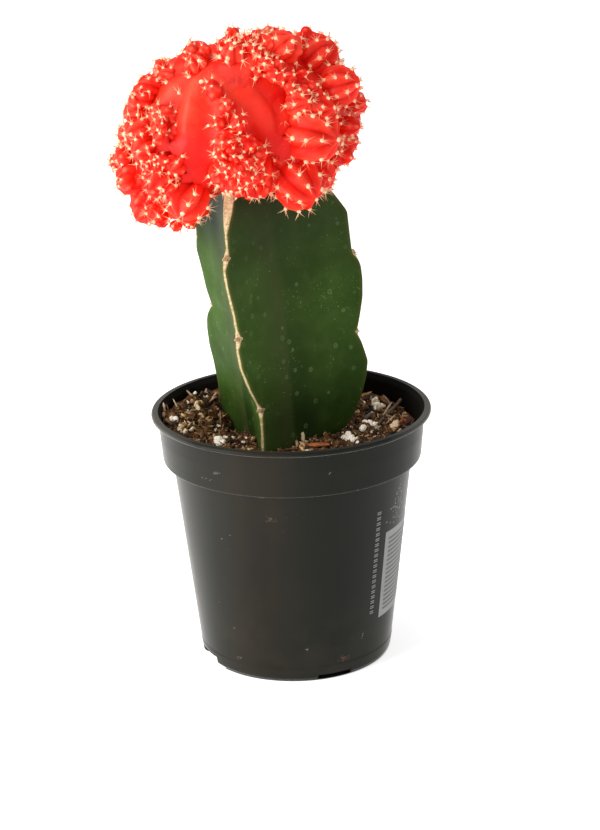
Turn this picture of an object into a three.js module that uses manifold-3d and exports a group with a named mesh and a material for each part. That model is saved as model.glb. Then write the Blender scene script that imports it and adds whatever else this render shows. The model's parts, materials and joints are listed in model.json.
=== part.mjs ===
// Potted moon cactus: a red grafted head on a three-winged green rootstock, in a thin black nursery pot.
// Millimetres, +Z up. The origin is on the pot's axis at table level, and the camera side is -Y.
import * as THREE from "three";
import { mergeVertices } from "three/addons/utils/BufferGeometryUtils.js";
import Module from "manifold-3d";

const wasm = await Module();
wasm.setup();

// Driving dimensions
const GAP = 0.3; // kept between pieces that touch
const POT_HEIGHT = 78;
const LIP_RADIUS = 42.5;
const LIP_DEPTH = 1.3;
const COLLAR_RADIUS = 40;
const COLLAR_FOOT = 63.2; // where the collar steps in to the wall
const COLLAR_EDGE = 39.35; // its radius there
const BASE_RADIUS = 29.3;
const WALL_TAPER = 0.113; // growth of the radius per mm of height
const WALL = 1.1;
const FLOOR = 1.3;
const POT_SIDES = 40;
const CHANNEL = { angles: [23, 113, 203, 293], width: 11, height: 1.8, inner: 21.5, skin: 1 };
const DRAIN_HOLE = { radius: 3.2, from_axis: 24.5 };
const PAST_WALL = 45; // a radius outside the whole pot, where cutting shapes end

const STEM_TOP = 152;
const STEM_FOOT = 42;
const STEM_STEP = 4.6; // height between two rings of the rootstock
const STEM_HOLE_TOP = 102; // well above the soil
const GRAFT_CUT_FOOT = 100; // well below the head
const VALLEY_RADIUS = 10.4;
const NECK = { below: 50, taper: 0.45 }; // the buried foot narrows below this height
const RIB_EDGE = 0.95; // half the thickness of a rib at its edge
const SCOOP = { sink: 1.7, span: 22 }; // how far a rib's side of this span sinks below a straight line
const KNOB = { radius: 1.6, tall: 1.3, sunk: 0.3 };

const HEAD = new THREE.Vector3(-15.5, 0, 167); // all places on the head are counted from here
const HEAD_FOOT = STEM_TOP + GAP;
const MOTHER = { at: [-3, 0, 0], radius: 22, up: 19, down: 16, ribs: 10, firstRib: 244 };
const MOTHER_SHAPE = { axis: [-0.14, -0.4, 0.9], shoulder: 0.6, groove: 0.11, inner_ball: 20.5 };
const SPINE_LENGTH = 3.2;
const SPINE_RADIUS = 0.24;
const SPINE_ROOT = 1.2;

const RADIANS = Math.PI / 180;
const UP = new THREE.Vector3(0, 0, 1);

// Seeded draws: a linear congruential generator, so that each build gives the same plant.
function dice(seed) {
  let state = seed >>> 0;
  return (low = 0, high = 1) => {
    state = (Math.imul(state, 1664525) + 1013904223) >>> 0;
    return low + ((high - low) * state) / 4294967296;
  };
}

// A closed three.js geometry becomes a solid for joining and cutting.
function solid(geometry) {
  geometry.deleteAttribute("normal");
  geometry.deleteAttribute("uv");
  const merged = mergeVertices(geometry, 1e-4);
  const corners = merged.index.array;
  const triangles = [];
  for (let i = 0; i < corners.length; i += 3) {
    const [a, b, c] = corners.slice(i, i + 3);
    if (a !== b && b !== c && c !== a) triangles.push(a, b, c);
  }
  return new wasm.Manifold(
    new wasm.Mesh({
      numProp: 3,
      vertProperties: merged.attributes.position.array,
      triVerts: new Uint32Array(triangles),
    }),
  );
}

// Joining can seal a hollow or cut off a crumb: only the outer skin of the largest body is kept.
function oneBody(shape) {
  return shape.decompose().reduce((best, piece) => (piece.volume() > best.volume() ? piece : best));
}

function meshOf(name, shape, color, roughness) {
  const { vertProperties, triVerts } = shape.getMesh();
  const geometry = new THREE.BufferGeometry();
  geometry.setAttribute("position", new THREE.BufferAttribute(vertProperties, 3));
  geometry.setIndex(new THREE.BufferAttribute(triVerts, 1));
  geometry.computeVertexNormals();
  const mesh = new THREE.Mesh(geometry, new THREE.MeshStandardMaterial({ color, roughness, metalness: 0 }));
  mesh.name = name;
  return mesh;
}

// Rings of points, from the foot up and counter-clockwise from above, closed by a fan at both ends.
function loft(rings) {
  const count = rings[0].length;
  const centre = (ring) => ring.reduce((sum, p) => sum.add(p), new THREE.Vector3()).divideScalar(count);
  const points = [...rings.flat(), centre(rings[0]), centre(rings.at(-1))];
  const foot = points.length - 2;
  const top = points.length - 1;
  const last = (rings.length - 1) * count;
  const index = [];
  for (let i = 0; i < count; i++) {
    const next = (i + 1) % count;
    index.push(foot, next, i, top, last + i, last + next);
    for (let start = 0; start < last; start += count) {
      const [a, b, c, d] = [start + i, start + next, start + count + next, start + count + i];
      index.push(a, b, c, a, c, d);
    }
  }
  const geometry = new THREE.BufferGeometry().setFromPoints(points);
  geometry.setIndex(index);
  return solid(geometry);
}

// A profile of [radius, height] points turned about the Z axis.
function turned(profile) {
  const points = profile.map(([radius, height]) => new THREE.Vector2(radius, height));
  const geometry = new THREE.LatheGeometry(points, POT_SIDES);
  return solid(geometry.rotateX(Math.PI / 2));
}

function between(table, z) {
  const k = table.findIndex(([height]) => height >= z);
  if (k < 0) return table.at(-1)[1];
  if (k === 0) return table[0][1];
  const [[z0, r0], [z1, r1]] = [table[k - 1], table[k]];
  return r0 + ((r1 - r0) * (z - z0)) / (z1 - z0);
}

// Pot
const wallRadius = (z) => BASE_RADIUS + WALL_TAPER * z;

const POT_OUTSIDE = [
  [BASE_RADIUS - 1, 0],
  [BASE_RADIUS, 1],
  [wallRadius(COLLAR_FOOT), COLLAR_FOOT - 0.45],
  [COLLAR_EDGE - 0.25, COLLAR_FOOT - 0.05],
  [COLLAR_EDGE, COLLAR_FOOT + 0.35],
  [COLLAR_RADIUS, 71],
  [COLLAR_RADIUS + 0.2, POT_HEIGHT - LIP_DEPTH - 0.8],
  [LIP_RADIUS - 0.4, POT_HEIGHT - LIP_DEPTH],
  [LIP_RADIUS, POT_HEIGHT - 0.7],
  [LIP_RADIUS - 0.5, POT_HEIGHT],
];
const POT_INSIDE = [
  [BASE_RADIUS - WALL, FLOOR],
  [wallRadius(COLLAR_FOOT) - WALL, COLLAR_FOOT + 0.3],
  [COLLAR_RADIUS - 1.9, COLLAR_FOOT + 1.3],
  [COLLAR_RADIUS - 1, 71],
  [COLLAR_RADIUS - 0.6, POT_HEIGHT - 1.5],
  [COLLAR_RADIUS + 0.4, POT_HEIGHT],
];

// Puts a shape, made for the +X side, at each of the four drain channels.
function atChannels(make) {
  return wasm.Manifold.union(CHANNEL.angles.map((angle) => solid(make().rotateZ(angle * RADIANS))));
}

function channelBox(outer, width, low, high, inner = CHANNEL.inner) {
  const box = new THREE.BoxGeometry(outer - inner, width, high - low);
  return box.translate((outer + inner) / 2, 0, (high + low) / 2);
}

// The floor rises over each channel; `grow` makes the room that the soil leaves for it.
function channelRoofs(grow) {
  const { width, height, skin, inner } = CHANNEL;
  const wide = width + 2 * skin + 2 * grow;
  const low = FLOOR / 3;
  return atChannels(() => channelBox(PAST_WALL, wide, low, height + skin + grow, inner - skin - grow));
}

function pot() {
  const outside = turned([[0, 0], ...POT_OUTSIDE, [0, POT_HEIGHT]]);
  const mouth = [[COLLAR_RADIUS + 0.4, POT_HEIGHT + 2], [0, POT_HEIGHT + 2]];
  const inside = turned([[0, FLOOR], ...POT_INSIDE, ...mouth]);
  const channels = atChannels(() => channelBox(PAST_WALL, CHANNEL.width, -1, CHANNEL.height));
  const holes = atChannels(() => {
    const { radius, from_axis } = DRAIN_HOLE;
    const drill = new THREE.CylinderGeometry(radius, radius, 8, 12).rotateX(Math.PI / 2);
    return drill.translate(from_axis, 0, 2);
  });
  return outside.subtract(inside.subtract(channelRoofs(0))).subtract(channels).subtract(holes);
}

// Rootstock: three wings, whose edges are outlines of [height, distance from the stem's axis].
const WINGS = [
  {
    angle: 10,
    edge: [
      [42, 9], [46, 13], [56, 14.5], [68.5, 16], [70.5, 19], [74.8, 22.3], [80.4, 25],
      [85.4, 26.8], [90.4, 28], [96.2, 27], [99.7, 25.8], [104.7, 27.3], [110.7, 28.9], [116.3, 29.6],
      [120.6, 29.6], [122.9, 28.8], [125.2, 27.4], [137.2, 27.6], [143.5, 23.9], [148, 17.5], [152, 13],
    ],
    areoles: [100, 124],
  },
  {
    angle: 130,
    edge: [
      [42, 11], [46, 18], [56, 27], [64, 31.5], [79, 30.5], [85.8, 31], [90.9, 31.9],
      [96, 31.9], [99.4, 31.3], [101.6, 30.3], [104.7, 27.6], [109.6, 29], [114.5, 29.8], [121.9, 31],
      [126.6, 29.9], [133, 29.5], [140, 24.5], [147, 17.5], [152, 13],
    ],
    areoles: [105, 126.5],
  },
  {
    angle: 250,
    edge: [
      [42, 9], [46, 14], [58, 18.5], [70.5, 20.2], [76.7, 18.5], [82.5, 17.5], [89.8, 22.8],
      [98.3, 27.5], [104, 28.1], [106.9, 26.2], [114.4, 26.8], [122.3, 28.7], [128.3, 29.1], [130.8, 26.7],
      [132.9, 24.8], [138.4, 23.7], [148, 17.7], [152, 14],
    ],
    areoles: [82.5, 107, 131],
  },
];
const stemAxis = (z) => 6.07 - 0.111 * z; // the stem leans a little to the left

// From a wing's edge down its scooped side to the valley, in the wing's own (along, across) frame.
function wingSide(tip, valley) {
  const start = new THREE.Vector2(tip - 0.7, RIB_EDGE);
  const end = new THREE.Vector2(valley * Math.cos(60 * RADIANS), valley * Math.sin(60 * RADIANS));
  const middle = start.clone().lerp(end, 0.5);
  middle.y -= (SCOOP.sink * (tip - end.x)) / SCOOP.span;
  return new THREE.QuadraticBezierCurve(start, middle, end).getPoints(3);
}

function stemRing(z, grow) {
  const valley = VALLEY_RADIUS - NECK.taper * Math.max(0, NECK.below - z) + grow;
  return WINGS.flatMap(({ angle, edge }) => {
    const tip = between(edge, z) + grow;
    const side = wingSide(tip, valley);
    const mirrored = side.slice(0, -1).reverse();
    const outline = [...mirrored.map((p) => [p.x, -p.y]), [tip, 0], ...side.map((p) => [p.x, p.y])];
    return outline.map(([along, across]) => {
      const point = new THREE.Vector3(along, across, 0).applyAxisAngle(UP, angle * RADIANS);
      return point.add(new THREE.Vector3(stemAxis(z), 0, z));
    });
  });
}

function stemBody(grow, foot, top) {
  const steps = Math.round((top - foot) / STEM_STEP);
  const rings = [];
  for (let i = 0; i <= steps; i++) rings.push(stemRing(foot + ((top - foot) * i) / steps, grow));
  return loft(rings);
}

// A corky knob with short spines stands at each areole of a rib.
function areoleKnobs() {
  const draw = dice(71);
  const pieces = [];
  for (const { angle, edge, areoles } of WINGS) {
    const out = new THREE.Vector3(1, 0, 0).applyAxisAngle(UP, angle * RADIANS);
    for (const z of areoles) {
      const axis = new THREE.Vector3(stemAxis(z), 0, z);
      const at = axis.addScaledVector(out, between(edge, z) - KNOB.sunk);
      const knob = new THREE.OctahedronGeometry(KNOB.radius, 0).scale(1, 1, KNOB.tall);
      pieces.push(solid(knob.translate(at.x, at.y, at.z)));
      for (let i = 0; i < 2; i++) {
        const aim = out.clone().add(new THREE.Vector3(draw(-0.7, 0.7), draw(-0.7, 0.7), draw(-0.7, 0.7)));
        pieces.push(needle(at, aim.normalize(), 0.8, 1.5));
      }
    }
  }
  return pieces;
}

// A three-sided needle: its root is sunk by `root`, and its point stands `length` past `at`.
function needle(at, aim, root, length) {
  const cone = new THREE.ConeGeometry(SPINE_RADIUS, root + length, 3);
  cone.translate(0, (length - root) / 2, 0);
  cone.applyQuaternion(new THREE.Quaternion().setFromUnitVectors(new THREE.Vector3(0, 1, 0), aim));
  return solid(cone.translate(at.x, at.y, at.z));
}

function rootstock() {
  const body = stemBody(0, STEM_FOOT, STEM_TOP);
  return oneBody(wasm.Manifold.union([body, ...areoleKnobs()]));
}

// Soil: heaps on an uneven level, [x, y, height, half width in x, half width in y].
const SOIL_LEVEL = 68.3;
const HEAPS = [
  [-37, 4, 6.6, 12, 24],
  [-18, 33, 4.6, 14, 10],
  [30, 20, 3, 9, 14],
  [14, 33, 1.6, 14, 8],
];
function soilHeight(x, y) {
  const lumps = 0.45 * Math.sin(0.83 * x + 0.4 * y) + 0.4 * Math.sin(0.71 * y - 0.35 * x + 1.3);
  const heap = ([cx, cy, high, wide, deep]) =>
    high * Math.exp(-(((x - cx) / wide) ** 2 + ((y - cy) / deep) ** 2) / 2);
  return HEAPS.reduce((sum, one) => sum + heap(one), SOIL_LEVEL + lumps);
}

function soilBlock() {
  const draw = dice(5);
  const sides = 28;
  const circles = 8;
  const reach = 41.5;
  const ring = (radius, height) =>
    Array.from({ length: sides }, (_, i) => {
      const turn = (2 * Math.PI * i) / sides;
      const [x, y] = [radius * Math.cos(turn), radius * Math.sin(turn)];
      return new THREE.Vector3(x, y, height(x, y));
    });
  const rings = [ring(reach, () => -2)];
  for (let i = circles; i > 0; i--) {
    rings.push(ring((reach * i) / circles, (x, y) => soilHeight(x, y) + draw(-0.55, 0.55)));
  }
  return loft(rings);
}

// Perlite grains and bark crumbs, strewn evenly and fused to the top of the mix.
const STREWN = { grains: 16, crumbs: 14, radius: 35.5 };
function crumbs() {
  const draw = dice(29);
  const pieces = [];
  const spot = () => {
    const turn = draw(0, 2 * Math.PI);
    const radius = STREWN.radius * Math.sqrt(draw());
    return [radius * Math.cos(turn), radius * Math.sin(turn)];
  };
  const place = (geometry, sunk) => {
    geometry.rotateX(draw(-0.4, 0.4)).rotateY(draw(-0.4, 0.4)).rotateZ(draw(0, Math.PI));
    const [x, y] = spot();
    pieces.push(solid(geometry.translate(x, y, soilHeight(x, y) - sunk)));
  };
  for (let i = 0; i < STREWN.grains; i++) {
    const size = draw(0.9, 1.9);
    place(new THREE.OctahedronGeometry(size, 0).scale(1, draw(0.7, 1), draw(0.6, 0.9)), 0.1 * size);
  }
  for (let i = 0; i < STREWN.crumbs; i++) {
    const thick = draw(0.9, 1.5);
    place(new THREE.BoxGeometry(draw(3, 6.5), draw(1.2, 2.2), thick), 0.05);
  }
  return pieces;
}

// A loose piece is laid by the soil's own height; its bed is the same shape, wider by GAP and open upwards.
function laid(geometry, [x, y], turn, lift) {
  geometry.rotateZ(turn * RADIANS);
  return solid(geometry.translate(x, y, soilHeight(x, y) + lift));
}

const CHIP = { at: [8, -13], turn: -8, lift: -0.2, thick: 1, bed: 6 };
function chip(grow, thick) {
  const outline = [[-3.4, 0], [-1.5, -0.9], [1.6, -0.8], [3.5, -0.1], [1.9, 0.8], [-1.2, 0.9]];
  const widened = (value) => value + Math.sign(value) * grow;
  const points = outline.map(([x, y]) => new THREE.Vector2(widened(x), widened(y)));
  const geometry = new THREE.ExtrudeGeometry(new THREE.Shape(points), { depth: thick, bevelEnabled: false });
  return laid(geometry.translate(0, 0, -grow), CHIP.at, CHIP.turn, CHIP.lift);
}

const TWIG = { at: [29.5, 9], points: [[-3, -8, 0], [0.4, 0, 0.4], [3, 8, 0.9]], radius: 0.45, lift: 0.4 };
function twig(grow) {
  const section = new THREE.Shape();
  section.absarc(0, 0, TWIG.radius + grow, 0, 2 * Math.PI);
  const extrudePath = new THREE.CatmullRomCurve3(TWIG.points.map((p) => new THREE.Vector3(...p)));
  const settings = { steps: 6, curveSegments: 3, bevelEnabled: false, extrudePath };
  return laid(new THREE.ExtrudeGeometry(section, settings), TWIG.at, 0, TWIG.lift);
}

function soil() {
  const shrunk = POT_INSIDE.map(([radius, height]) => [radius - GAP, Math.max(height, FLOOR + GAP)]);
  const fill = turned([[0, FLOOR + GAP], ...shrunk, [0, POT_HEIGHT]]);
  const mix = soilBlock().intersect(fill).subtract(channelRoofs(GAP));
  const stemHole = stemBody(GAP, STEM_FOOT - GAP, STEM_HOLE_TOP);
  const beds = wasm.Manifold.union([chip(GAP, CHIP.bed), twig(GAP), twig(GAP).translate(0, 0, 1)]);
  return oneBody(wasm.Manifold.union([mix, ...crumbs()]).subtract(stemHole).subtract(beds));
}

// Head: places are [x, y, z, radius] from HEAD. Cores are the flesh behind the crowd of pups.
const CORES = [
  [19, 0, 1, 15.5],
  [-17, 0, -5, 14],
  [-17, -9, -15, 10],
  [16, -5, -10, 11],
  [7, -4, 12.5, 12],
  [0, 9, -4, 15],
  [-7, -8, -10, 10],
];
const PUPS = [
  // Top
  [12, 3, 20.2, 4.8], [1.5, 4, 19, 4.6], [-9, 3, 17.2, 4.6], [-17, 4, 10.5, 4.6], [28, 5, 12, 5],
  [16, -9, 21.5, 5], [26, -3, 18, 5.8], [22, 5, 19, 4.6], [2, -12, 20.5, 3.6], [-9, -9, 17.5, 3.6],
  [-10.3, -9, 21.4, 1.9], [-6.7, -9, 21.3, 1.8], [-2.5, -8, 21, 2.4], [1.3, -6, 24.5, 2.2],
  [-17.5, -6, 13, 3], [-19.3, -5, 16.3, 1.9],
  // Left
  [-22.5, -8, 11, 3.3], [-24.5, -9, 8.5, 3.4], [-26.5, -8, 3.5, 3.6], [-26, -12, -1, 4.1],
  [-29.5, -6, -3, 3.2], [-31, -6, -9.5, 3.6], [-33, -3, -11.5, 2.7], [-24.5, -14, -6, 4.1],
  [-15.2, -18, -10, 3.6], [-28.5, -8, -15.5, 4.8], [-20, -17, -14.5, 4.7], [-25, -9, -22.5, 4.5],
  [-12.5, -17, -20.5, 6.4], [-16.5, -19.5, -16.5, 3], [-25.4, -11, -24.8, 3.3], [-21.3, -13, -25.2, 3.6],
  // Right
  [19.5, -18, 7, 4], [25.5, -15, 4.5, 4.8], [23.5, -14, -2.5, 8.2], [31.5, -8, 10, 5.9],
  [35.8, -5, 4.5, 3], [34, -8, -2, 3.1], [33.6, -4, -7, 3.2], [31, -5, -10, 4.2], [25, -8, -15.5, 5.3],
  [19, -14, -16.8, 7.4],
  // Low front
  [2.5, -18, -10, 8.6], [9, -15, -15, 5],
];

// The back of the head is filled by a spiral of pups, each step turned by the golden angle. They
// stand off the flesh by a quarter of their radius and sink towards the head's sides.
function backPups() {
  const draw = dice(11);
  const count = 34;
  const golden = 137.5;
  const list = [];
  for (let i = 0; i < count; i++) {
    const rise = 0.86 - 1.36 * ((i + 0.5) / count);
    const angle = ((i * golden) % 360) * RADIANS;
    const level = Math.sqrt(1 - rise * rise);
    const aim = new THREE.Vector3(level * Math.cos(angle), level * Math.sin(angle), rise);
    const size = draw(4.6, 8);
    if (aim.y < 0.08 || aim.z > 0.72) continue;
    const stand = (0.25 - 0.65 * aim.x ** 2) * size;
    const at = aim.clone().multiplyScalar(surfaceAlong(aim, CORE_BALLS) + stand);
    list.push([at.x, at.y, at.z, size]);
  }
  return list;
}

// Crowds of tiny pups: [azimuth, elevation, how many, spread], in degrees seen from HEAD.
const CROWDS = [
  [309, 60, 5, 11], [307, 39, 4, 8], [315, 27, 3, 7], [328, 22, 3, 7], [258, 31, 2, 5],
  [268, 19, 2, 4], [271, 7, 2, 7], [276, -20, 9, 19], [283, -38, 2, 10], [224, -17, 2, 6],
  [223, 0, 2, 6], [222, 12, 2, 7], [212, -30, 3, 12], [226, -51, 1, 8], [197, -14, 2, 14],
  [200, 14, 1, 12], [350, 2, 1, 14], [344, -20, 1, 12],
];
const TINY = { low: 1.8, high: 2.5 };

const asBall = ([x, y, z, r]) => ({ centre: new THREE.Vector3(x, y, z), radius: r });
const CORE_BALLS = [asBall([...MOTHER.at, MOTHER_SHAPE.inner_ball]), ...CORES.map(asBall)];

// How far the outermost ball reaches from HEAD along a unit direction.
function surfaceAlong(aim, balls) {
  return balls.reduce((far, { centre, radius }) => {
    const along = centre.dot(aim);
    const room = along * along - centre.lengthSq() + radius * radius;
    return room > 0 ? Math.max(far, along + Math.sqrt(room)) : far;
  }, 0);
}

function direction(azimuth, elevation) {
  const level = Math.cos(elevation * RADIANS);
  return new THREE.Vector3(
    level * Math.cos(azimuth * RADIANS),
    level * Math.sin(azimuth * RADIANS),
    Math.sin(elevation * RADIANS),
  );
}

function tinyPups(balls) {
  const draw = dice(47);
  const list = [];
  for (const [azimuth, elevation, count, spread] of CROWDS) {
    for (let i = 0; i < count; i++) {
      const swing = (draw(-1, 1) + draw(-1, 1)) * 0.5 * spread;
      const lift = (draw(-1, 1) + draw(-1, 1)) * 0.5 * spread;
      const aim = direction(azimuth + swing / Math.cos(elevation * RADIANS), elevation + lift);
      const size = draw(TINY.low, TINY.high);
      const at = aim.clone().multiplyScalar(surfaceAlong(aim, balls) - 0.35 * size);
      list.push({ centre: at, radius: size });
    }
  }
  return list;
}

// Rings round an axis: reach(polar, i) is the distance from the middle at the i-th point of a ring.
function ringedBall(sides, polars, reach) {
  return polars.map((polar) =>
    Array.from({ length: sides }, (_, i) => {
      const turn = (360 * i) / sides;
      const radius = reach(polar, i);
      const level = radius * Math.sin(polar * RADIANS);
      return new THREE.Vector3(
        level * Math.cos(turn * RADIANS),
        level * Math.sin(turn * RADIANS),
        radius * Math.cos(polar * RADIANS),
      );
    }),
  );
}

// The mother's own upright axis leans towards the front, so that her ribs run down from there.
function leaned(x, y, z) {
  const turn = new THREE.Quaternion().setFromUnitVectors(UP, new THREE.Vector3(...MOTHER_SHAPE.axis).normalize());
  return new THREE.Vector3(x, y, z).applyQuaternion(turn).add(new THREE.Vector3(...MOTHER.at));
}

function mother() {
  const { radius, up, down, ribs, firstRib } = MOTHER;
  const { shoulder, groove } = MOTHER_SHAPE;
  const sides = ribs * 4;
  const elevations = [-64, -30, 4, 38, 70];
  const rings = elevations.map((elevation) =>
    Array.from({ length: sides }, (_, i) => {
      const inGroove = Math.sin((Math.PI * i) / 4) ** 2;
      const level = radius * Math.cos(elevation * RADIANS) ** shoulder * (1 - groove * inGroove);
      const rise = (elevation > 0 ? up : down) * Math.sin(elevation * RADIANS);
      const turn = (firstRib + (360 * i) / sides) * RADIANS;
      const [x, y] = [level * Math.cos(turn), level * Math.sin(turn)];
      return leaned(x, y, rise);
    }),
  );
  return loft(rings);
}

// How finely each size of pup is made: polars are the rings' angles from the pup's axis, and the
// first ring of a larger pup is its wide root, sunk in the flesh.
const PUP_GRIDS = {
  big: { above: 5.2, ribs: 6, polars: [162, 104, 66, 30] },
  middling: { above: 2.6, ribs: 5, polars: [160, 94, 42] },
  tiny: { sides: 4, polars: [98, 42] },
};
const PUP_GROOVE = 0.84;
const PUP_ROOT = 1.2;

// One ribbed pup whose axis points away from the head's middle; a tiny one is a plain bead.
function pup({ centre, radius }, spin) {
  const { big, middling, tiny } = PUP_GRIDS;
  const { ribs, polars } = radius > big.above ? big : middling;
  const ribbed = (polar, i) => radius * (polar === polars[0] ? PUP_ROOT : i % 2 ? PUP_GROOVE : 1);
  const rings =
    radius > middling.above
      ? ringedBall(ribs * 2, polars, ribbed)
      : ringedBall(tiny.sides, tiny.polars, () => radius);
  const aim = centre.clone().normalize();
  const turn = new THREE.Quaternion().setFromUnitVectors(UP, aim);
  turn.multiply(new THREE.Quaternion().setFromAxisAngle(UP, spin));
  return loft(rings.map((ring) => ring.map((p) => p.applyQuaternion(turn).add(centre))));
}

// Spines stand at the pup's tip and round its shoulder, and on the mother's bare upper ribs.
function spines(balls) {
  const draw = dice(83);
  const list = [];
  const isOutside = (point, own) =>
    balls.every((ball) => ball === own || ball.centre.distanceTo(point) > ball.radius * 0.97);
  for (const ball of balls) {
    const aim = ball.centre.clone().normalize();
    const count = ball.radius > 5.5 ? 3 : ball.radius > PUP_GRIDS.middling.above ? 2 : 1;
    const start = draw(0, 360);
    for (let i = 0; i < count; i++) {
      const polar = i === 0 ? draw(0, 25) : draw(35, 85);
      const side = UP.clone().cross(aim).normalize();
      const out = aim.clone().applyAxisAngle(side, polar * RADIANS);
      out.applyAxisAngle(aim, (start + (360 * i) / Math.max(1, count - 1)) * RADIANS);
      const at = ball.centre.clone().addScaledVector(out, ball.radius * 0.95);
      const lean = new THREE.Vector3(draw(-0.5, 0.5), draw(-0.5, 0.5), draw(-0.5, 0.5));
      if (isOutside(at.clone().addScaledVector(out, 0.8), ball)) {
        const length = draw(0.8, 1) * SPINE_LENGTH;
        list.push(needle(at, out.clone().add(lean).normalize(), SPINE_ROOT, length));
      }
    }
  }
  return list;
}

function motherSpines(balls) {
  const draw = dice(91);
  const { radius, up, ribs, firstRib } = MOTHER;
  const list = [];
  for (let rib = 0; rib < ribs; rib++) {
    for (const elevation of [18, 36, 54]) {
      const level = radius * Math.cos(elevation * RADIANS) ** MOTHER_SHAPE.shoulder - 0.2;
      const turn = (firstRib + (360 * rib) / ribs) * RADIANS;
      const rise = up * Math.sin(elevation * RADIANS);
      const spot = leaned(level * Math.cos(turn), level * Math.sin(turn), rise);
      const out = spot.clone().normalize();
      if (!balls.every((ball) => ball.centre.distanceTo(spot) > ball.radius)) continue;
      for (let i = 0; i < 2; i++) {
        const lean = new THREE.Vector3(draw(-0.7, 0.7), draw(-0.7, 0.7), draw(-0.7, 0.7));
        list.push(needle(spot, out.clone().add(lean).normalize(), SPINE_ROOT, SPINE_LENGTH));
      }
    }
  }
  return list;
}

function scion() {
  const draw = dice(3);
  const pups = [...PUPS, ...backPups()].map(asBall);
  const tiny = tinyPups([...CORE_BALLS, ...pups]);
  const balls = [...pups, ...tiny];
  const cores = CORES.map(([x, y, z, r]) => solid(new THREE.SphereGeometry(r, 8, 6).translate(x, y, z)));
  const bodies = balls.map((ball) => pup(ball, draw(0, Math.PI)));
  const needles = [...spines(balls), ...motherSpines(balls)];
  const flesh = wasm.Manifold.union([mother(), ...cores, ...bodies, ...needles]);
  const placed = flesh.translate(HEAD.toArray());
  return oneBody(placed.subtract(stemBody(GAP + 0.1, GRAFT_CUT_FOOT, HEAD_FOOT)));
}

const plant = new THREE.Group();
plant.add(
  meshOf("pot", pot(), 0x33312d, 0.45),
  meshOf("soil", soil(), 0x4a2f1f, 0.95),
  meshOf("bark_chip", chip(0, CHIP.thick), 0xa5602f, 0.85),
  meshOf("twig", twig(0), 0x3d2a1c, 0.9),
  meshOf("rootstock", rootstock(), 0x3c5a28, 0.45),
  meshOf("scion", scion(), 0xf0281c, 0.4),
);

export default plant;
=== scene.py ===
# %% [markdown]
# # A potted moon cactus
# A moon cactus is two plants grown together: a red head that can't feed itself, grafted on a green
# three-winged rootstock that feeds it. It stands in a thin black nursery pot with a loose bark mix.
# The packed solids are loaded first and stay a fixed frame: every finer surface made here stays
# where its solid is, so the part keeps its measured size.

# %% Load the fixed frame
import json
import bpy
import numpy as np
from mathutils import Matrix, Vector

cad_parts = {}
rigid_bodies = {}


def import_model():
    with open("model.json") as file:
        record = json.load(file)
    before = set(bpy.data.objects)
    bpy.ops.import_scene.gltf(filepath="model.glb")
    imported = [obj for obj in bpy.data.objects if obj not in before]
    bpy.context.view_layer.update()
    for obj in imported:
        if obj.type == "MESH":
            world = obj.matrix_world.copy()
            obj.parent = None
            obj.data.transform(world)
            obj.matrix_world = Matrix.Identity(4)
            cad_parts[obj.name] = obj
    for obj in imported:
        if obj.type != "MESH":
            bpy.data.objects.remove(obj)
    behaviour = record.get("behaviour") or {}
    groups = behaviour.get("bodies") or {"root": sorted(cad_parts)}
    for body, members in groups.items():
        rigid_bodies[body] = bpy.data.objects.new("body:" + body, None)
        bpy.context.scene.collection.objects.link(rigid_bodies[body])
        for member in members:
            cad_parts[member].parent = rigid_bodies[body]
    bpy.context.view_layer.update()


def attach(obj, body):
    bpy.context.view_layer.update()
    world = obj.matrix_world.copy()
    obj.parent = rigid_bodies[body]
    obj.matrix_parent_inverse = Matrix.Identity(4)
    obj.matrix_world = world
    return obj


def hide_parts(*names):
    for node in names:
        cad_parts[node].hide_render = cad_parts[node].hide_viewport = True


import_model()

# %% [markdown]
# ## Numbers drawn with dice
# The solids place their small pups with a seeded rule, so the same rule here puts the fine pups on
# the coarse ones. A linear congruential generator is a single line and gives the same plant each time.

# %% Seeded dice
MM = 0.001  # everything below is worked out in millimetres


def dice(seed):
    """Each draw multiplies the state by 1664525, adds 1013904223 and keeps 32 bits."""
    state = seed

    def draw(low=0.0, high=1.0):
        """low + (high - low) state / 2^32, after the state has moved on by one step."""
        nonlocal state
        state = (state * 1664525 + 1013904223) % 2**32
        return low + (high - low) * state / 2**32

    return draw


print("first draws:", [round(dice(3)(), 3), round(dice(11)(), 3)])

# %% [markdown]
# ## From whole arrays to a mesh
# Blender can take a mesh as three flat lists: the points, the corners of all faces in a row, and
# where each face starts. A pile collects surfaces as numpy arrays and hands them over in one go,
# which is far quicker than adding points one by one, and it keeps a value per point for the material.
# Nearly every surface below is a grid of points that is closed round in one direction, like a tube.


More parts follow.
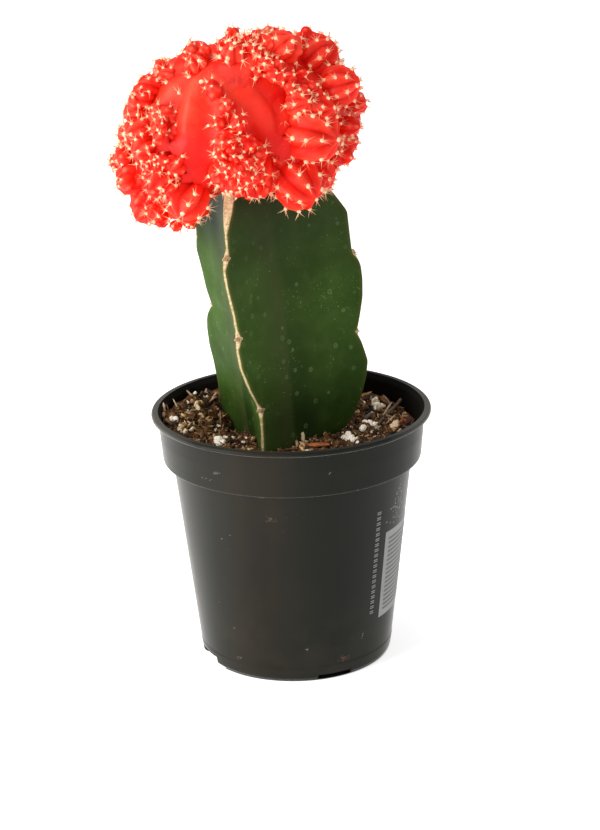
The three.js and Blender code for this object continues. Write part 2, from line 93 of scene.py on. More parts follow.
# %% A pile of surfaces
class Pile:
    """Surfaces as (points, faces, values); the faces' numbers count from each surface's first point."""

    def __init__(self):
        """Starts with no surface and no point."""
        self.points, self.faces, self.values, self.count = [], [], [], 0

    def add(self, points, faces, **values):
        """Appends one surface; a value is one number for all its points, or one number for each."""
        points = np.asarray(points, float).reshape(-1, 3)
        for one in faces if isinstance(faces, list) else [faces]:
            self.faces.append(np.asarray(one, np.int64) + self.count)
        spread = {k: np.broadcast_to(np.asarray(v, float), len(points)) for k, v in values.items()}
        self.points.append(points)
        self.values.append(spread)
        self.count += len(points)

    def mesh(self, name):
        """All surfaces as one mesh in metres; a face starts where the corners of those before it end."""
        data = bpy.data.meshes.new(name)
        points = np.concatenate(self.points) * MM
        corners = np.concatenate([one.ravel() for one in self.faces])
        sizes = np.concatenate([np.full(len(one), one.shape[1]) for one in self.faces])
        data.vertices.add(len(points))
        data.vertices.foreach_set("co", points.astype(np.float32).ravel())
        data.loops.add(len(corners))
        data.loops.foreach_set("vertex_index", corners.astype(np.int32))
        data.polygons.add(len(sizes))
        data.polygons.foreach_set("loop_start", (np.cumsum(sizes) - sizes).astype(np.int32))
        data.polygons.foreach_set("loop_total", sizes.astype(np.int32))
        data.polygons.foreach_set("use_smooth", np.ones(len(sizes), bool))
        for key in self.values[0]:
            layer = data.attributes.new(key, "FLOAT", "POINT")
            whole = np.concatenate([one[key] for one in self.values])
            layer.data.foreach_set("value", whole.astype(np.float32))
        data.update(calc_edges=True)
        return data


def link_pile(name, pile):
    """Puts a pile into the scene as an object."""
    made = bpy.data.objects.new(name, pile.mesh(name))
    bpy.context.scene.collection.objects.link(made)
    return made


print("points in a new pile:", Pile().count)


# %% Faces and angles of a grid
def grid(rows, cols, wrap=True):
    """Each face joins point (r, c) to (r, c+1), (r+1, c+1) and (r+1, c); wrap closes the columns."""
    r = np.arange(rows - 1)[:, None]
    c = np.arange(cols if wrap else cols - 1)[None, :]
    n = (c + 1) % cols
    corners = [r * cols + c, r * cols + n, (r + 1) * cols + n, (r + 1) * cols + c]
    return np.stack(np.broadcast_arrays(*corners), axis=-1).reshape(-1, 4)


def tube_faces(rows, cols, first=True, last=True, flip=False):
    """A wrapped grid whose first and last rings are closed by one face each; flip turns all faces round."""
    ring = np.arange(cols)[None]
    faces = [grid(rows, cols)] + [ring[:, ::-1]] * first + [(rows - 1) * cols + ring] * last
    return [one[:, ::-1] for one in faces] if flip else faces


def stacked(*parts):
    """The parts spread to one shape and set side by side, so that the last axis holds x, y and z."""
    return np.stack(np.broadcast_arrays(*parts), -1)


def round_about(count):
    """That many angles evenly round a circle, in radians."""
    return np.arange(count) * 2 * np.pi / count


def way_out(polar, turn):
    """The unit way (sin p cos t, sin p sin t, cos p), p being the angle from upright and t the way round."""
    return stacked(np.sin(polar) * np.cos(turn), np.sin(polar) * np.sin(turn), np.cos(polar))


def direction(azimuth, elevation):
    """The unit way (cos e cos a, cos e sin a, sin e) for angles in degrees."""
    a, e = np.radians(azimuth), np.radians(elevation)
    return np.array([np.cos(e) * np.cos(a), np.cos(e) * np.sin(a), np.sin(e)])


print("faces of a small tube:", [len(faces) for faces in tube_faces(3, 8)])

# %% [markdown]
# ## Pieces that ride on the frame
# Each fine surface becomes an object at the origin. It rides on the part's one body and says which
# solids it stands for, so that those are hidden.


# %% Showing a piece
def mesh_points(data):
    """The places of a mesh's points in millimetres, as rows of x, y and z."""
    flat = np.empty(len(data.vertices) * 3, np.float32)
    data.vertices.foreach_get("co", flat)
    return flat.reshape(-1, 3) / MM


def show(name, pile, material, slot, *replaced):
    """Links a pile as one object, gives it its finish, and says which solids it stands for."""
    data = pile if isinstance(pile, bpy.types.Mesh) else pile.mesh(name)  # cut pieces come as meshes
    piece = bpy.data.objects.new(name, data)
    bpy.context.scene.collection.objects.link(piece)
    data.materials.clear()
    data.materials.append(material)
    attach(piece, "root")
    if replaced:
        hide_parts(*replaced)
    triangles = sum(len(face.vertices) - 2 for face in data.polygons)
    low, high = mesh_points(data).min(0), mesh_points(data).max(0)
    print(f"{name}: {triangles} triangles, from {low.round(1)} to {high.round(1)} mm")
    return piece


# %% [markdown]
# ## Finishes as small graphs
# A finish is a graph of shader nodes that feeds one Principled shader. This little helper adds a node,
# sets or links its inputs and gives back its output, so that a finish reads as a few lines. All its
# patterns read the place on the object in metres, so they sit still on the piece from every side.


# %% Colours
def srgb(red, green, blue):
    """A colour given as 0-255 numbers, in the linear light that shaders use."""
    c = np.array([red, green, blue]) / 255
    return (*np.where(c <= 0.04045, c / 12.92, ((c + 0.055) / 1.055) ** 2.4), 1.0)


print("white is", srgb(255, 255, 255)[:3])


# %% A finish graph
class Finish:
    """One material; each method adds its nodes and returns their last output."""

    def __init__(self, name, **sockets):
        """Makes the material with its one shader, whose sockets are set at once."""
        self.material = bpy.data.materials.new(name)
        self.material.use_nodes = True
        self.tree = self.material.node_tree
        self.shader = self.tree.nodes["Principled BSDF"]
        self.place = self.node("TexCoord").outputs["Object"]
        self.set(self.shader, sockets)

    def set(self, node, sockets):
        """Links a socket where the value is another node's output, and otherwise sets it."""
        for key, value in sockets.items():
            if isinstance(value, bpy.types.NodeSocket):
                self.tree.links.new(value, node.inputs[key])
            else:
                node.inputs[key].default_value = value

    def node(self, kind, sockets=None, **settings):
        """Any shader node, with its settings first and its sockets next."""
        made = self.tree.nodes.new("ShaderNode" + kind)
        for key, value in settings.items():
            setattr(made, key, value)
        self.set(made, sockets or {})
        return made

    def value(self, name):
        """The value of that name that the mesh keeps for each point."""
        return self.node("Attribute", attribute_name=name).outputs["Fac"]

    def along(self, axis):
        """How far along X, Y or Z a place lies, in metres."""
        return self.node("SeparateXYZ", {"Vector": self.place}).outputs[axis]

    def noise(self, scale, detail=3.0, rough=0.55, stretch=(1, 1, 1)):
        """Soft clouds about 1 / scale metres wide; a stretch under 1 draws them out along that axis."""
        place = self.node("Mapping", {"Vector": self.place, "Scale": stretch}).outputs["Vector"]
        settings = {"Vector": place, "Scale": scale, "Detail": detail, "Roughness": rough}
        return self.node("TexNoise", settings).outputs["Fac"]

    def cells(self, scale):
        """The distance to the nearest of many strewn dots, about 1 / scale metres apart."""
        return self.node("TexVoronoi", {"Vector": self.place, "Scale": scale}).outputs["Distance"]

    def remap(self, value, low, high, to_low=0.0, to_high=1.0):
        """A straight line from (low, to_low) to (high, to_high), held level beyond both."""
        settings = {"Value": value, "From Min": low, "From Max": high, "To Min": to_low, "To Max": to_high}
        return self.node("MapRange", settings).outputs["Result"]

    def math(self, operation, a, b=0.0):
        """One sum with two values, such as ADD, SUBTRACT or MAXIMUM."""
        return self.node("Math", {0: a, 1: b}, operation=operation).outputs["Value"]

    def times(self, a, b):
        """a times b."""
        return self.math("MULTIPLY", a, b)

    def mix(self, factor, a, b):
        """The colour (1 - factor) a + factor b; a Mix node keeps its colours in sockets 6, 7 and 2."""
        return self.node("Mix", {0: factor, 6: a, 7: b}, data_type="RGBA").outputs[2]

    def coat(self, base, *layers):
        """Lays colours over a base in turn; each layer is a mask and the colour's 0-255 numbers."""
        for mask, colour in layers:
            base = self.mix(mask, base, srgb(*colour))
        return base

    def bump(self, height, strength, distance):
        """The normal of a relief that is `distance` millimetres high."""
        settings = {"Height": height, "Strength": strength, "Distance": distance * MM}
        return self.node("Bump", settings).outputs["Normal"]

    def feed(self, **sockets):
        """Gives the shader its sockets, an underscore standing for a space, and returns the material."""
        self.set(self.shader, {key.replace("_", " "): value for key, value in sockets.items()})
        return self.material


print("helpers of a finish:", [name for name in vars(Finish) if not name.startswith("_")])


# %% A finish that follows the mesh
def toned(name, roughness, low, high, cloud=None, grain=None, key="tone", own=None):
    """A finish that runs from a low to a high colour with a value of the mesh. A cloud is a noise's scale
    and detail, where it starts and ends, its most and its colour; a grain is a noise and its relief."""
    made = Finish(name, Roughness=roughness)
    made.set(made.shader, own or {})
    colour = made.mix(made.value(key), srgb(*low), srgb(*high))
    if cloud:
        scale, detail, start, end, most, stain = cloud
        colour = made.coat(colour, (made.remap(made.noise(scale, detail), start, end, 0.0, most), stain))
    if grain:
        scale, detail, strength, relief = grain
        made.feed(Normal=made.bump(made.noise(scale, detail), strength, relief))
    return made.feed(Base_Color=colour)


print("finishes before any fine piece:", len(bpy.data.materials))

# %% [markdown]
# ## The camera
# The viewing angle was worked out from the pot: its rim and its base are circles of known size, and
# the ratio of their heights and widths in the picture gives how steeply the camera looks down. It is
# set before the plant, because some tubercles are placed along the camera's rays further on.

# %% Camera
PICTURE = (600, 830)
EYE = np.array([0.6, -646.6, 296.0])
PITCH, YAW, ROLL = np.radians([18.86, 0.18, 1.34])
FOCAL = 2251.0  # in pixels
SENSOR = 36.0

look = np.array([np.sin(YAW) * np.cos(PITCH), np.cos(YAW) * np.cos(PITCH), -np.sin(PITCH)])
level = np.array([np.cos(YAW), -np.sin(YAW), 0.0])
upright = np.cross(level, look)
side_axis = level * np.cos(ROLL) - upright * np.sin(ROLL)
top_axis = level * np.sin(ROLL) + upright * np.cos(ROLL)


def in_picture(points):
    """Pixel = centre + focal length times (sideways, upwards) over depth; the depth is given too."""
    away = np.asarray(points) - EYE
    depth = away @ look
    x = PICTURE[0] / 2 + FOCAL * (away @ side_axis) / depth
    y = PICTURE[1] / 2 - FOCAL * (away @ top_axis) / depth
    return x, y, depth


camera = bpy.data.objects.new("camera", bpy.data.cameras.new("camera"))
bpy.context.scene.collection.objects.link(camera)
turned = np.stack([side_axis, top_axis, -look], axis=1)
camera.matrix_world = Matrix.Translation(EYE * MM) @ Matrix(turned.tolist()).to_4x4()
camera.data.sensor_width = SENSOR
camera.data.lens = FOCAL * SENSOR / max(PICTURE)
bpy.context.scene.camera = camera
foot = [round(float(v)) for v in in_picture([0, 0, 0])[:2]]
print("lens", round(camera.data.lens, 1), "mm; pot foot at pixel", foot)

# %% [markdown]
# ## The nursery pot
# The pot is one shot of thin black plastic: a tapered wall, a taller collar for stacking and a rolled
# lip, with four drain channels under the floor. A turned profile gives nearly all of it. The channels
# and holes are cut with Booleans, as they are in the solid, because a cut keeps the wall's thickness.

# %% Pot measures
COLLAR = 40.0  # radii and heights in mm
LIP = 42.5
TALL = 78.0
BASE = 29.3
TAPER = 0.113  # mm of radius for each mm of height
WALL = 1.1
FLOOR = 1.3
COLLAR_FOOT, COLLAR_EDGE = 63.2, 39.35  # the collar's lower edge, where it steps in to the wall
CHANNELS = np.radians([23, 113, 203, 293])
CHANNEL_WIDTH, CHANNEL_INNER = 11.0, 21.5  # how wide, and how far from the axis a channel ends
CHANNEL_HIGH = [1.8, 1.8, 2.9, 1.8]
HOLE_RADIUS, HOLE_FROM_AXIS = 3.2, 24.5
PAST_WALL = 45.0  # a radius beyond the pot, where the channels' tools end
POT_SIDES = 216


def wall_radius(z):
    """The wall's outer radius grows by the taper for each millimetre of height."""
    return BASE + TAPER * np.asarray(z, float)


OUTSIDE = [
    (BASE - 0.9, 0), (BASE + 0.12, 1), (wall_radius(4.4) + 0.12, 4.4), (wall_radius(4.8), 4.8),
    (wall_radius(20), 20), (wall_radius(40), 40),
    (wall_radius(COLLAR_FOOT) - 0.05, COLLAR_FOOT - 0.45), (COLLAR_EDGE - 0.25, COLLAR_FOOT - 0.05),
    (COLLAR_EDGE, COLLAR_FOOT + 0.35), (39.62, 67), (COLLAR, 71), (COLLAR + 0.2, 75.9), (COLLAR + 0.6, 76.3),
    (LIP - 0.35, 76.6), (LIP, 77.2), (LIP - 0.35, TALL),
]
INSIDE = [
    (BASE - WALL, FLOOR), (wall_radius(30) - WALL, 30), (wall_radius(COLLAR_FOOT) - WALL, COLLAR_FOOT + 0.3),
    (38.1, COLLAR_FOOT + 1.3), (39.0, 71), (39.4, 76.4), (40.4, TALL),
]


def outside_radius(z):
    """The outer profile's radius, read between the rows of its table."""
    radii, levels = np.array(OUTSIDE).T
    return np.interp(z, levels, radii)


print("wall radius under the collar:", round(float(wall_radius(COLLAR_FOOT)), 2), "mm")


# %% Rounded and turned profiles
def rounded(profile, radius, steps=4):
    """Each corner P becomes (1-t)^2 A + 2t(1-t) P + t^2 B, A and B lying `radius` away or, on a short
    side, 0.45 of it."""
    path = np.asarray(profile, float)
    t = np.linspace(0, 1, steps + 1)[:, None]
    out = [path[:1]]
    for before, here, after in zip(path[:-2], path[1:-1], path[2:]):
        a, b = before - here, after - here
        a *= min(radius, 0.45 * np.linalg.norm(a)) / np.linalg.norm(a)
        b *= min(radius, 0.45 * np.linalg.norm(b)) / np.linalg.norm(b)
        out.append((1 - t) ** 2 * (here + a) + 2 * t * (1 - t) * here + t**2 * (here + b))
    return np.concatenate(out + [path[-1:]])


def turned_pile(profile, sides=POT_SIDES):
    """Point (i, j) = (r_i cos a_j, r_i sin a_j, z_i); one face closes each end."""
    r, z = np.asarray(profile, float).T[..., None]
    angle = round_about(sides)
    pile = Pile()
    pile.add(stacked(r * np.cos(angle), r * np.sin(angle), z), tube_faces(len(r), sides))
    return pile


def box_pile(angle, outer, inner, width, low, high):
    """A box from radius inner to outer, turned about the axis by an angle."""
    x, y, z = np.meshgrid([inner, outer], [-width / 2, width / 2], [low, high], indexing="ij")
    points = stacked(x * np.cos(angle) - y * np.sin(angle), x * np.sin(angle) + y * np.cos(angle), z)
    faces = [[0, 1, 3, 2], [4, 6, 7, 5], [0, 4, 5, 1], [2, 3, 7, 6], [0, 2, 6, 4], [1, 5, 7, 3]]
    pile = Pile()
    pile.add(points, np.array(faces))
    return pile


print("a rounded lip has", len(rounded(OUTSIDE, 0.5)), "rings")


# %% Cutting with Booleans
def cut(body, tools):
    """Takes each tool away from the body with one Boolean, and clears the tools away."""
    for tool in tools:
        step = body.modifiers.new("cut", "BOOLEAN")
        step.operation, step.solver, step.object = "DIFFERENCE", "MANIFOLD", tool
    ready = body.evaluated_get(bpy.context.evaluated_depsgraph_get())
    shape = bpy.data.meshes.new_from_object(ready)
    body.modifiers.clear()
    body.data = shape
    for tool in tools:
        bpy.data.objects.remove(tool)


CLOSING_RING = 9.0  # how far in from its edge a flat end is closed by one face
ROOF = 1.0  # the plastic over a channel and at its sides
UNDER_FOOT = -1.0
DRILL_FROM, DRILL_TO = -2, 6
outer_profile = rounded([(BASE - CLOSING_RING, 0), *OUTSIDE, (COLLAR - CLOSING_RING, TALL)], 0.45)
inner_profile = rounded([(BASE - CLOSING_RING, FLOOR), *INSIDE], 0.5)
past_mouth = [[COLLAR + 0.4, TALL + 2]]
outer = link_pile("pot_outer", turned_pile(outer_profile))
inner = link_pile("pot_inner", turned_pile(np.concatenate([inner_profile, past_mouth])))
roofs, channels, drills = [], [], []
for angle, high in zip(CHANNELS, CHANNEL_HIGH):
    roof = box_pile(angle, PAST_WALL, CHANNEL_INNER - ROOF, CHANNEL_WIDTH + 2 * ROOF, 0.4, high + ROOF)
    channel = box_pile(angle, PAST_WALL, CHANNEL_INNER, CHANNEL_WIDTH, UNDER_FOOT, high)
    drill = turned_pile([(HOLE_RADIUS, DRILL_FROM), (HOLE_RADIUS, DRILL_TO)], 32)
    drill.points[0] += HOLE_FROM_AXIS * np.array([np.cos(angle), np.sin(angle), 0])
    roofs.append(link_pile("roof", roof))
    channels.append(link_pile("channel", channel))
    drills.append(link_pile("drill", drill))
cut(inner, roofs)
cut(outer, [inner, *channels, *drills])
pot_mesh = outer.data
bpy.data.objects.remove(outer)
print("pot cut:", len(pot_mesh.polygons), "faces")

# %% Sharp edges, and which points lie inside
SHARP_FROM = np.radians(38)
pot_mesh.set_sharp_from_angle(angle=SHARP_FROM)
x, y, z = mesh_points(pot_mesh).T
# The inside value carries painted shade: it makes the pot's inner face darker than its outside.
behind_outside = outside_radius(z) - np.hypot(x, y)
inside = np.clip(behind_outside / 0.5 - 1, 0, 1) * (z > FLOOR)  # from 0 at 0.5 mm to 1 at 1 mm
pot_mesh.attributes.new("inside", "FLOAT", "POINT").data.foreach_set("value", inside.astype(np.float32))
print("share of points inside:", round(float(inside.mean()), 2))

# %% [markdown]
# ## Black plastic
# Recycled black plastic is a warm charcoal with a soft gloss. It never looks like plain black: it has
# faint upright flow streaks from the mould, brown dust near the foot and specks of mix that dried on it,
# and its lip carries a painted highlight that is paler at the sides. The streaks are a noise stretched
# along Z, and they also vary the gloss.
# A touch of sheen gives the pale edges that thin plastic has where it turns away.

# %% Plastic finish
plastic = Finish("black_plastic", IOR=1.5)
plastic.set(plastic.shader, {"Specular IOR Level": 0.12, "Sheen Weight": 0.8, "Sheen Roughness": 0.25})
plastic.set(plastic.shader, {"Sheen Tint": (1.0, 0.96, 0.91, 1.0)})
sideways, height = plastic.along("X"), plastic.along("Z")
streaks = plastic.noise(60, 3, stretch=(1, 1, 0.08))
tone = plastic.remap(plastic.math("ADD", streaks, plastic.noise(28, 4)), 0.7, 1.3)
cool = plastic.mix(tone, srgb(18, 21, 15), srgb(26, 27, 20))
brownish = plastic.mix(tone, srgb(26, 23, 16), srgb(38, 33, 24))
left_part = plastic.remap(sideways, 0.004, -0.006)
left_part = plastic.times(left_part, plastic.remap(sideways, -0.024, -0.016, 0.3, 1.0))
dust = plastic.remap(height, 0.0, 0.03, 0.2, 0.0)
dust = plastic.times(dust, plastic.remap(plastic.noise(90, 5), 0.45, 0.75))
specks = plastic.remap(plastic.cells(420), 0.10, 0.05)
specks = plastic.times(specks, plastic.remap(plastic.noise(75, 2), 0.66, 0.7))
# Painted highlight: the top of the lip is paler at the left and right sides.
painted_lip_highlight = plastic.remap(height, (TALL - 1.6) * MM, (TALL - 0.6) * MM)
painted_lip_highlight = plastic.times(painted_lip_highlight, plastic.remap(plastic.math("ABSOLUTE", sideways), 0.028, 0.039, 0.0, 0.6))
base = plastic.coat(
    plastic.mix(left_part, cool, brownish),
    (dust, (74, 60, 46)),
    (specks, (150, 132, 112)),
    # painted shade on the inner face
    (plastic.value("inside"), (9, 9, 7)),
    (painted_lip_highlight, (104, 102, 96)),
)
gloss = plastic.remap(streaks, 0.3, 0.7, 0.34, 0.46)
flow = plastic.math("ADD", plastic.noise(900, 2), plastic.times(streaks, 2.0))
pot_finish = plastic.feed(Base_Color=base, Roughness=gloss, Normal=plastic.bump(flow, 0.12, 0.05))
pot = show("nursery_pot", pot_mesh, pot_finish, "pot_plastic", "pot")
print("plastic nodes:", len(plastic.tree.nodes))

# %% [markdown]
# ## The dull inside
# Inside, the pot is more matt, because the mould's core isn't polished, and its colour is darker with painted
# shade.
# The finish could be mixed in one graph, but sheen has to stay one number all over a material. So the
# faces whose corners all lie inside get a second material, in the same mesh.

# %% Inner faces
dull = Finish("inner_plastic", Roughness=0.6)
dull.set(dull.shader, {"Specular IOR Level": 0.15})
inner_streaks = dull.remap(dull.noise(60, 3, stretch=(1, 1, 0.2)), 0.3, 0.7)
# The dark inner colour is painted shade.
inner_tone = dull.mix(inner_streaks, srgb(9, 9, 7), srgb(17, 16, 12))
pot.data.materials.append(dull.feed(Base_Color=inner_tone, Normal=dull.bump(dull.noise(900, 2), 0.1, 0.05)))
corners = np.empty(len(pot.data.loops), np.int32)
pot.data.loops.foreach_get("vertex_index", corners)
first_corners = np.empty(len(pot.data.polygons), np.int32)
pot.data.polygons.foreach_get("loop_start", first_corners)
face_inside = np.minimum.reduceat(inside[corners], first_corners) > 0.5
pot.data.polygons.foreach_set("material_index", face_inside.astype(np.int32))
print("faces with the dull finish:", int(face_inside.sum()))

# %% [markdown]
# ## A printed panel
# A pale panel of even bars and a thin column of even dashes are printed on the wall at the right, with
# flecks of worn ink above them. Ink could be painted on as a picture. Here each print is a skin that
# follows the wall's cone a twentieth of a millimetre above it, which needs no picture.


# %% Prints on the wall
def wall_patch(pile, angles, heights, lift, tone, steps=(24, 6)):
    """Point (i, j) lies at angle a_i and height z_j on the wall's cone, moved outwards by lift."""
    a = np.radians(np.linspace(*angles, steps[0]))[:, None]
    z = np.linspace(*heights, steps[1])
    r = wall_radius(z) + lift
    pile.add(stacked(r * np.cos(a), r * np.sin(a), z), grid(*steps, wrap=False)[:, ::-1], tone=tone)


PANEL_ANGLES, PANEL_HEIGHTS = (323.2, 366.0), (15.8, 44.3)  # degrees round the pot, mm above the floor
BARS, BAR_ANGLES, BAR_HIGH = 17, (326.5, 358.0), 0.75
DASH_PAIRS, DASH_ANGLES, DASH_HIGH = 20, (314.9, 317.8), 0.3
FLECKS = 90
prints = Pile()
wall_patch(prints, PANEL_ANGLES, PANEL_HEIGHTS, 0.05, 1.0)
for low in np.linspace(PANEL_HEIGHTS[0] + 2, PANEL_HEIGHTS[1] - 3, BARS):
    wall_patch(prints, BAR_ANGLES, (low, low + BAR_HIGH), 0.09, 0.0, (20, 2))
for low in np.linspace(18.5, 51.5, DASH_PAIRS):
    for step in (0.0, 0.6):
        wall_patch(prints, DASH_ANGLES, (low + step, low + step + DASH_HIGH), 0.05, 0.85, (4, 2))
rng = np.random.default_rng(14)
fleck_angles, fleck_heights = rng.normal(334, 4, FLECKS), rng.normal(52, 3.2, FLECKS)
fleck_tones = rng.uniform(0.2, 0.7, FLECKS)
for angle, low, tone in zip(fleck_angles, fleck_heights, fleck_tones):
    wide, tall = rng.uniform(0.3, 1.3), rng.uniform(0.15, 0.6)
    wall_patch(prints, (angle, angle + wide), (low, low + tall), 0.04, tone, (2, 2))
wear = (700, 3, 0.3, 0.8, 0.35, (104, 104, 102))
show("printed_panel", prints, toned("print_ink", 0.42, (62, 63, 61), (134, 136, 134), wear), "pot_plastic")
print("prints:", prints.count, "points")

# %% [markdown]
# ## Marks left by use
# Splashes of water and mix dry on a pot as small pale or rusty marks. Their places were noted in the
# picture, and the wall is searched for the point that the camera sees there. Each mark is a handful
# of flecks, thin skins again, whose size and tone are drawn at random from a fixed seed.

# %% Flecks of dried dirt
MARKS_SEEN = [
    # Pixel of the middle; spread across and up in mm; flecks; tone, warmth
    (216, 473, 0.9, 0.4, 18, 0.5, 0.2), (230, 535, 0.2, 0.2, 3, 0.8, 0.4),
    (198, 591, 1.4, 2.4, 34, 0.6, 1.0), (344, 659, 1.9, 0.9, 60, 0.3, 0.8),
    (307, 650, 0.5, 0.7, 10, 0.6, 0.1), (271, 520, 1.2, 0.8, 16, 0.4, 0.4),
    (330, 474, 0.3, 0.5, 4, 0.6, 0.1), (239, 658, 1.0, 0.4, 9, 0.5, 0.2),
    (189, 513, 0.3, 0.9, 8, 0.6, 0.9), (262, 498, 1.6, 0.3, 12, 0.35, 0.3),
    (205, 478, 1.4, 0.3, 9, 0.4, 0.2), (362, 636, 0.3, 0.8, 7, 0.6, 0.1),
]
MARK_LIFT = 0.03  # mm above the wall
front_angles, front_heights = np.radians(np.arange(180, 361, 0.5)), np.arange(2, 77, 0.5)
wall_angles, wall_heights = np.meshgrid(front_angles, front_heights, indexing="ij")
wall_reach = outside_radius(wall_heights)
wall_points = stacked(wall_reach * np.cos(wall_angles), wall_reach * np.sin(wall_angles), wall_heights)
wall_x, wall_y, _ = in_picture(wall_points)
marks = Pile()
rng = np.random.default_rng(29)
for px, py, across, up, flecks, tone, warmth in MARKS_SEEN:
    nearest = np.argmin(np.hypot(wall_x - px, wall_y - py))
    middle, level = np.degrees(wall_angles.flat[nearest]), wall_heights.flat[nearest]
    for _ in range(flecks):
        low = level + rng.normal(0, up / 2)
        left = middle + np.degrees(rng.normal(0, across / 2) / BASE)
        wide, tall = rng.uniform(0.2, 0.7), rng.uniform(0.08, 0.3)
        angles = np.radians([left, left + wide])[:, None]
        z = np.array([[low, low + tall]])
        r = outside_radius(z) + MARK_LIFT
        fleck = stacked(r * np.cos(angles), r * np.sin(angles), z)
        faces = grid(2, 2, wrap=False)[:, ::-1]
        marks.add(fleck, faces, tone=tone * rng.uniform(0.6, 1.3), warmth=warmth)
dirt = Finish("dried_dirt", Roughness=0.8)
spilt = dirt.mix(dirt.value("warmth"), srgb(128, 124, 116), srgb(150, 84, 48))
spilt = dirt.mix(dirt.value("tone"), srgb(44, 38, 30), spilt)
show("dried_marks", marks, dirt.feed(Base_Color=spilt), "pot_plastic")
print("marks:", marks.count // 4, "flecks")

# %% [markdown]
# ## The green rootstock
# A three-winged climbing cactus feeds the head. Each wing is a thin blade whose edge is scalloped, with
# a corky margin and a woody knob at each areole. The cross-section is the same everywhere, only
# stretched: an edge, a scooped side, a valley. So the stem is one grid of height against the way round.

# %% Rootstock measures
STEM_FOOT, STEM_TOP = 42.0, 152.0
VALLEY = 10.4  # mm from the axis
RIB_EDGE = 0.95  # half the thickness of a wing at its edge
WINGS = {  # by angle: height and reach of points on the edge, and the heights of its areoles
    10: dict(
        edge=[
            (42, 9), (46, 13), (56, 14.5), (68.5, 16), (70.5, 19), (74.8, 22.3), (80.4, 25), (85.4, 26.8),
            (90.4, 28), (96.2, 27), (99.7, 25.8), (104.7, 27.3), (110.7, 28.9), (116.3, 29.6),
            (120.6, 29.6), (122.9, 28.8), (125.2, 27.4), (137.2, 27.6), (143.5, 23.9), (148, 17.5), (152, 13),
        ],
        areoles=[100, 124],
    ),
    130: dict(
        edge=[
            (42, 11), (46, 18), (56, 27), (64, 31.5), (79, 30.5), (85.8, 31), (90.9, 31.9), (96, 31.9),
            (99.4, 31.3), (101.6, 30.3), (104.7, 27.6), (109.6, 29), (114.5, 29.8), (121.9, 31),
            (126.6, 29.9), (133, 29.5), (140, 24.5), (147, 17.5), (152, 13),
        ],
        areoles=[105, 126.5],
    ),
    250: dict(
        edge=[
            (42, 9), (46, 14), (58, 18.5), (70.5, 20.2), (76.7, 18.5), (82.5, 17.5), (89.8, 22.8),
            (98.3, 27.5), (104, 28.1), (106.9, 26.2), (114.4, 26.8), (122.3, 28.7), (128.3, 29.1),
            (130.8, 26.7), (132.9, 24.8), (138.4, 23.7), (148, 17.7), (152, 14),
        ],
        areoles=[82.5, 107, 131],
    ),
}


AXIS_X, LEAN = 6.07, 0.111


def stem_axis(z):
    """The stem leans a little to the left: x = 6.07 - 0.111 z."""
    return AXIS_X - LEAN * np.asarray(z, float)


heights = np.linspace(STEM_FOOT, STEM_TOP, 170)
print("rings on the rootstock:", len(heights))


# %% The way round the stem
def wing_edge(edge, z):
    """The table read between its rows, then averaged over a millimetre and a half to ease the corners."""
    near = np.linspace(-0.8, 0.8, 9)
    z = np.asarray(z, float)[..., None] + near
    return np.interp(z, *np.array(edge).T).mean(-1)


def cut_back(z):
    """0 on the living edge, 1 where the wing was bevelled off under the graft."""
    return np.clip((np.asarray(z) - 137.5) / 7.0, 0, 1)


SAG, SAG_AT = 1.7, 22  # the middle of a side is drawn in by 1.7 mm on a wing 22 mm deep
NARROW_BELOW = 50  # mm above the floor, where the buried foot starts to taper


def half_wing(tip, z, side_steps=26, cap_steps=6):
    """From the edge inwards: a quarter ellipse, then (1-t)^2 S + 2t(1-t) M + t^2 E down to the valley."""
    cap_deep = (0.7 - 0.45 * cut_back(z))[:, None]
    thick = (RIB_EDGE + 0.55 * cut_back(z))[:, None]
    valley = VALLEY - 0.45 * np.clip(NARROW_BELOW - z, 0, None)
    swing = np.linspace(np.pi / 2, 0, cap_steps, endpoint=False)
    cap = np.stack([tip[:, None] - cap_deep * (1 - np.sin(swing)), thick * np.cos(swing)], -1)
    t = np.linspace(0, 1, side_steps)[None, :, None]
    start = np.stack([tip[:, None] - cap_deep, thick], -1)
    end = np.stack([valley * np.cos(np.pi / 3), valley * np.sin(np.pi / 3)], -1)[:, None]
    scoop = np.stack([0 * tip, SAG * (tip - end[:, 0, 0]) / SAG_AT], -1)[:, None]
    middle = (start + end) / 2 - scoop
    side = (1 - t) ** 2 * start + 2 * t * (1 - t) * middle + t**2 * end
    return np.concatenate([cap, side], axis=1)


def whole_wing(angle, edge):
    """The half wing and its mirror image, turned to the wing's angle about the leaning axis. Given with
    the points are the way from the edge, and the way to the valley, negative on the clockwise side."""
    half = half_wing(wing_edge(edge, heights), heights)
    steps = np.linalg.norm(np.diff(half, axis=1), axis=2)
    way = np.concatenate([np.zeros((len(half), 1)), np.cumsum(steps, 1)], 1)
    mirror = half[:, :0:-1] * [1, -1]
    along, across = np.moveaxis(np.concatenate([mirror[:, 1:], half], 1), -1, 0)
    to_valley = np.concatenate([(way - way[:, -1:])[:, :0:-1][:, 1:], way[:, -1:] - way], 1)
    way = np.concatenate([way[:, :0:-1][:, 1:], way], 1)
    c, s = np.cos(np.radians(angle)), np.sin(np.radians(angle))
    x = along * c - across * s + stem_axis(heights)[:, None]
    y = along * s + across * c
    return stacked(x, y, heights[:, None]), way, to_valley


wings = {angle: whole_wing(angle, wing["edge"]) for angle, wing in WINGS.items()}
around, from_edge, to_valley = (np.concatenate(parts, axis=1) for parts in zip(*wings.values()))
print("rootstock grid:", around.shape[:2])
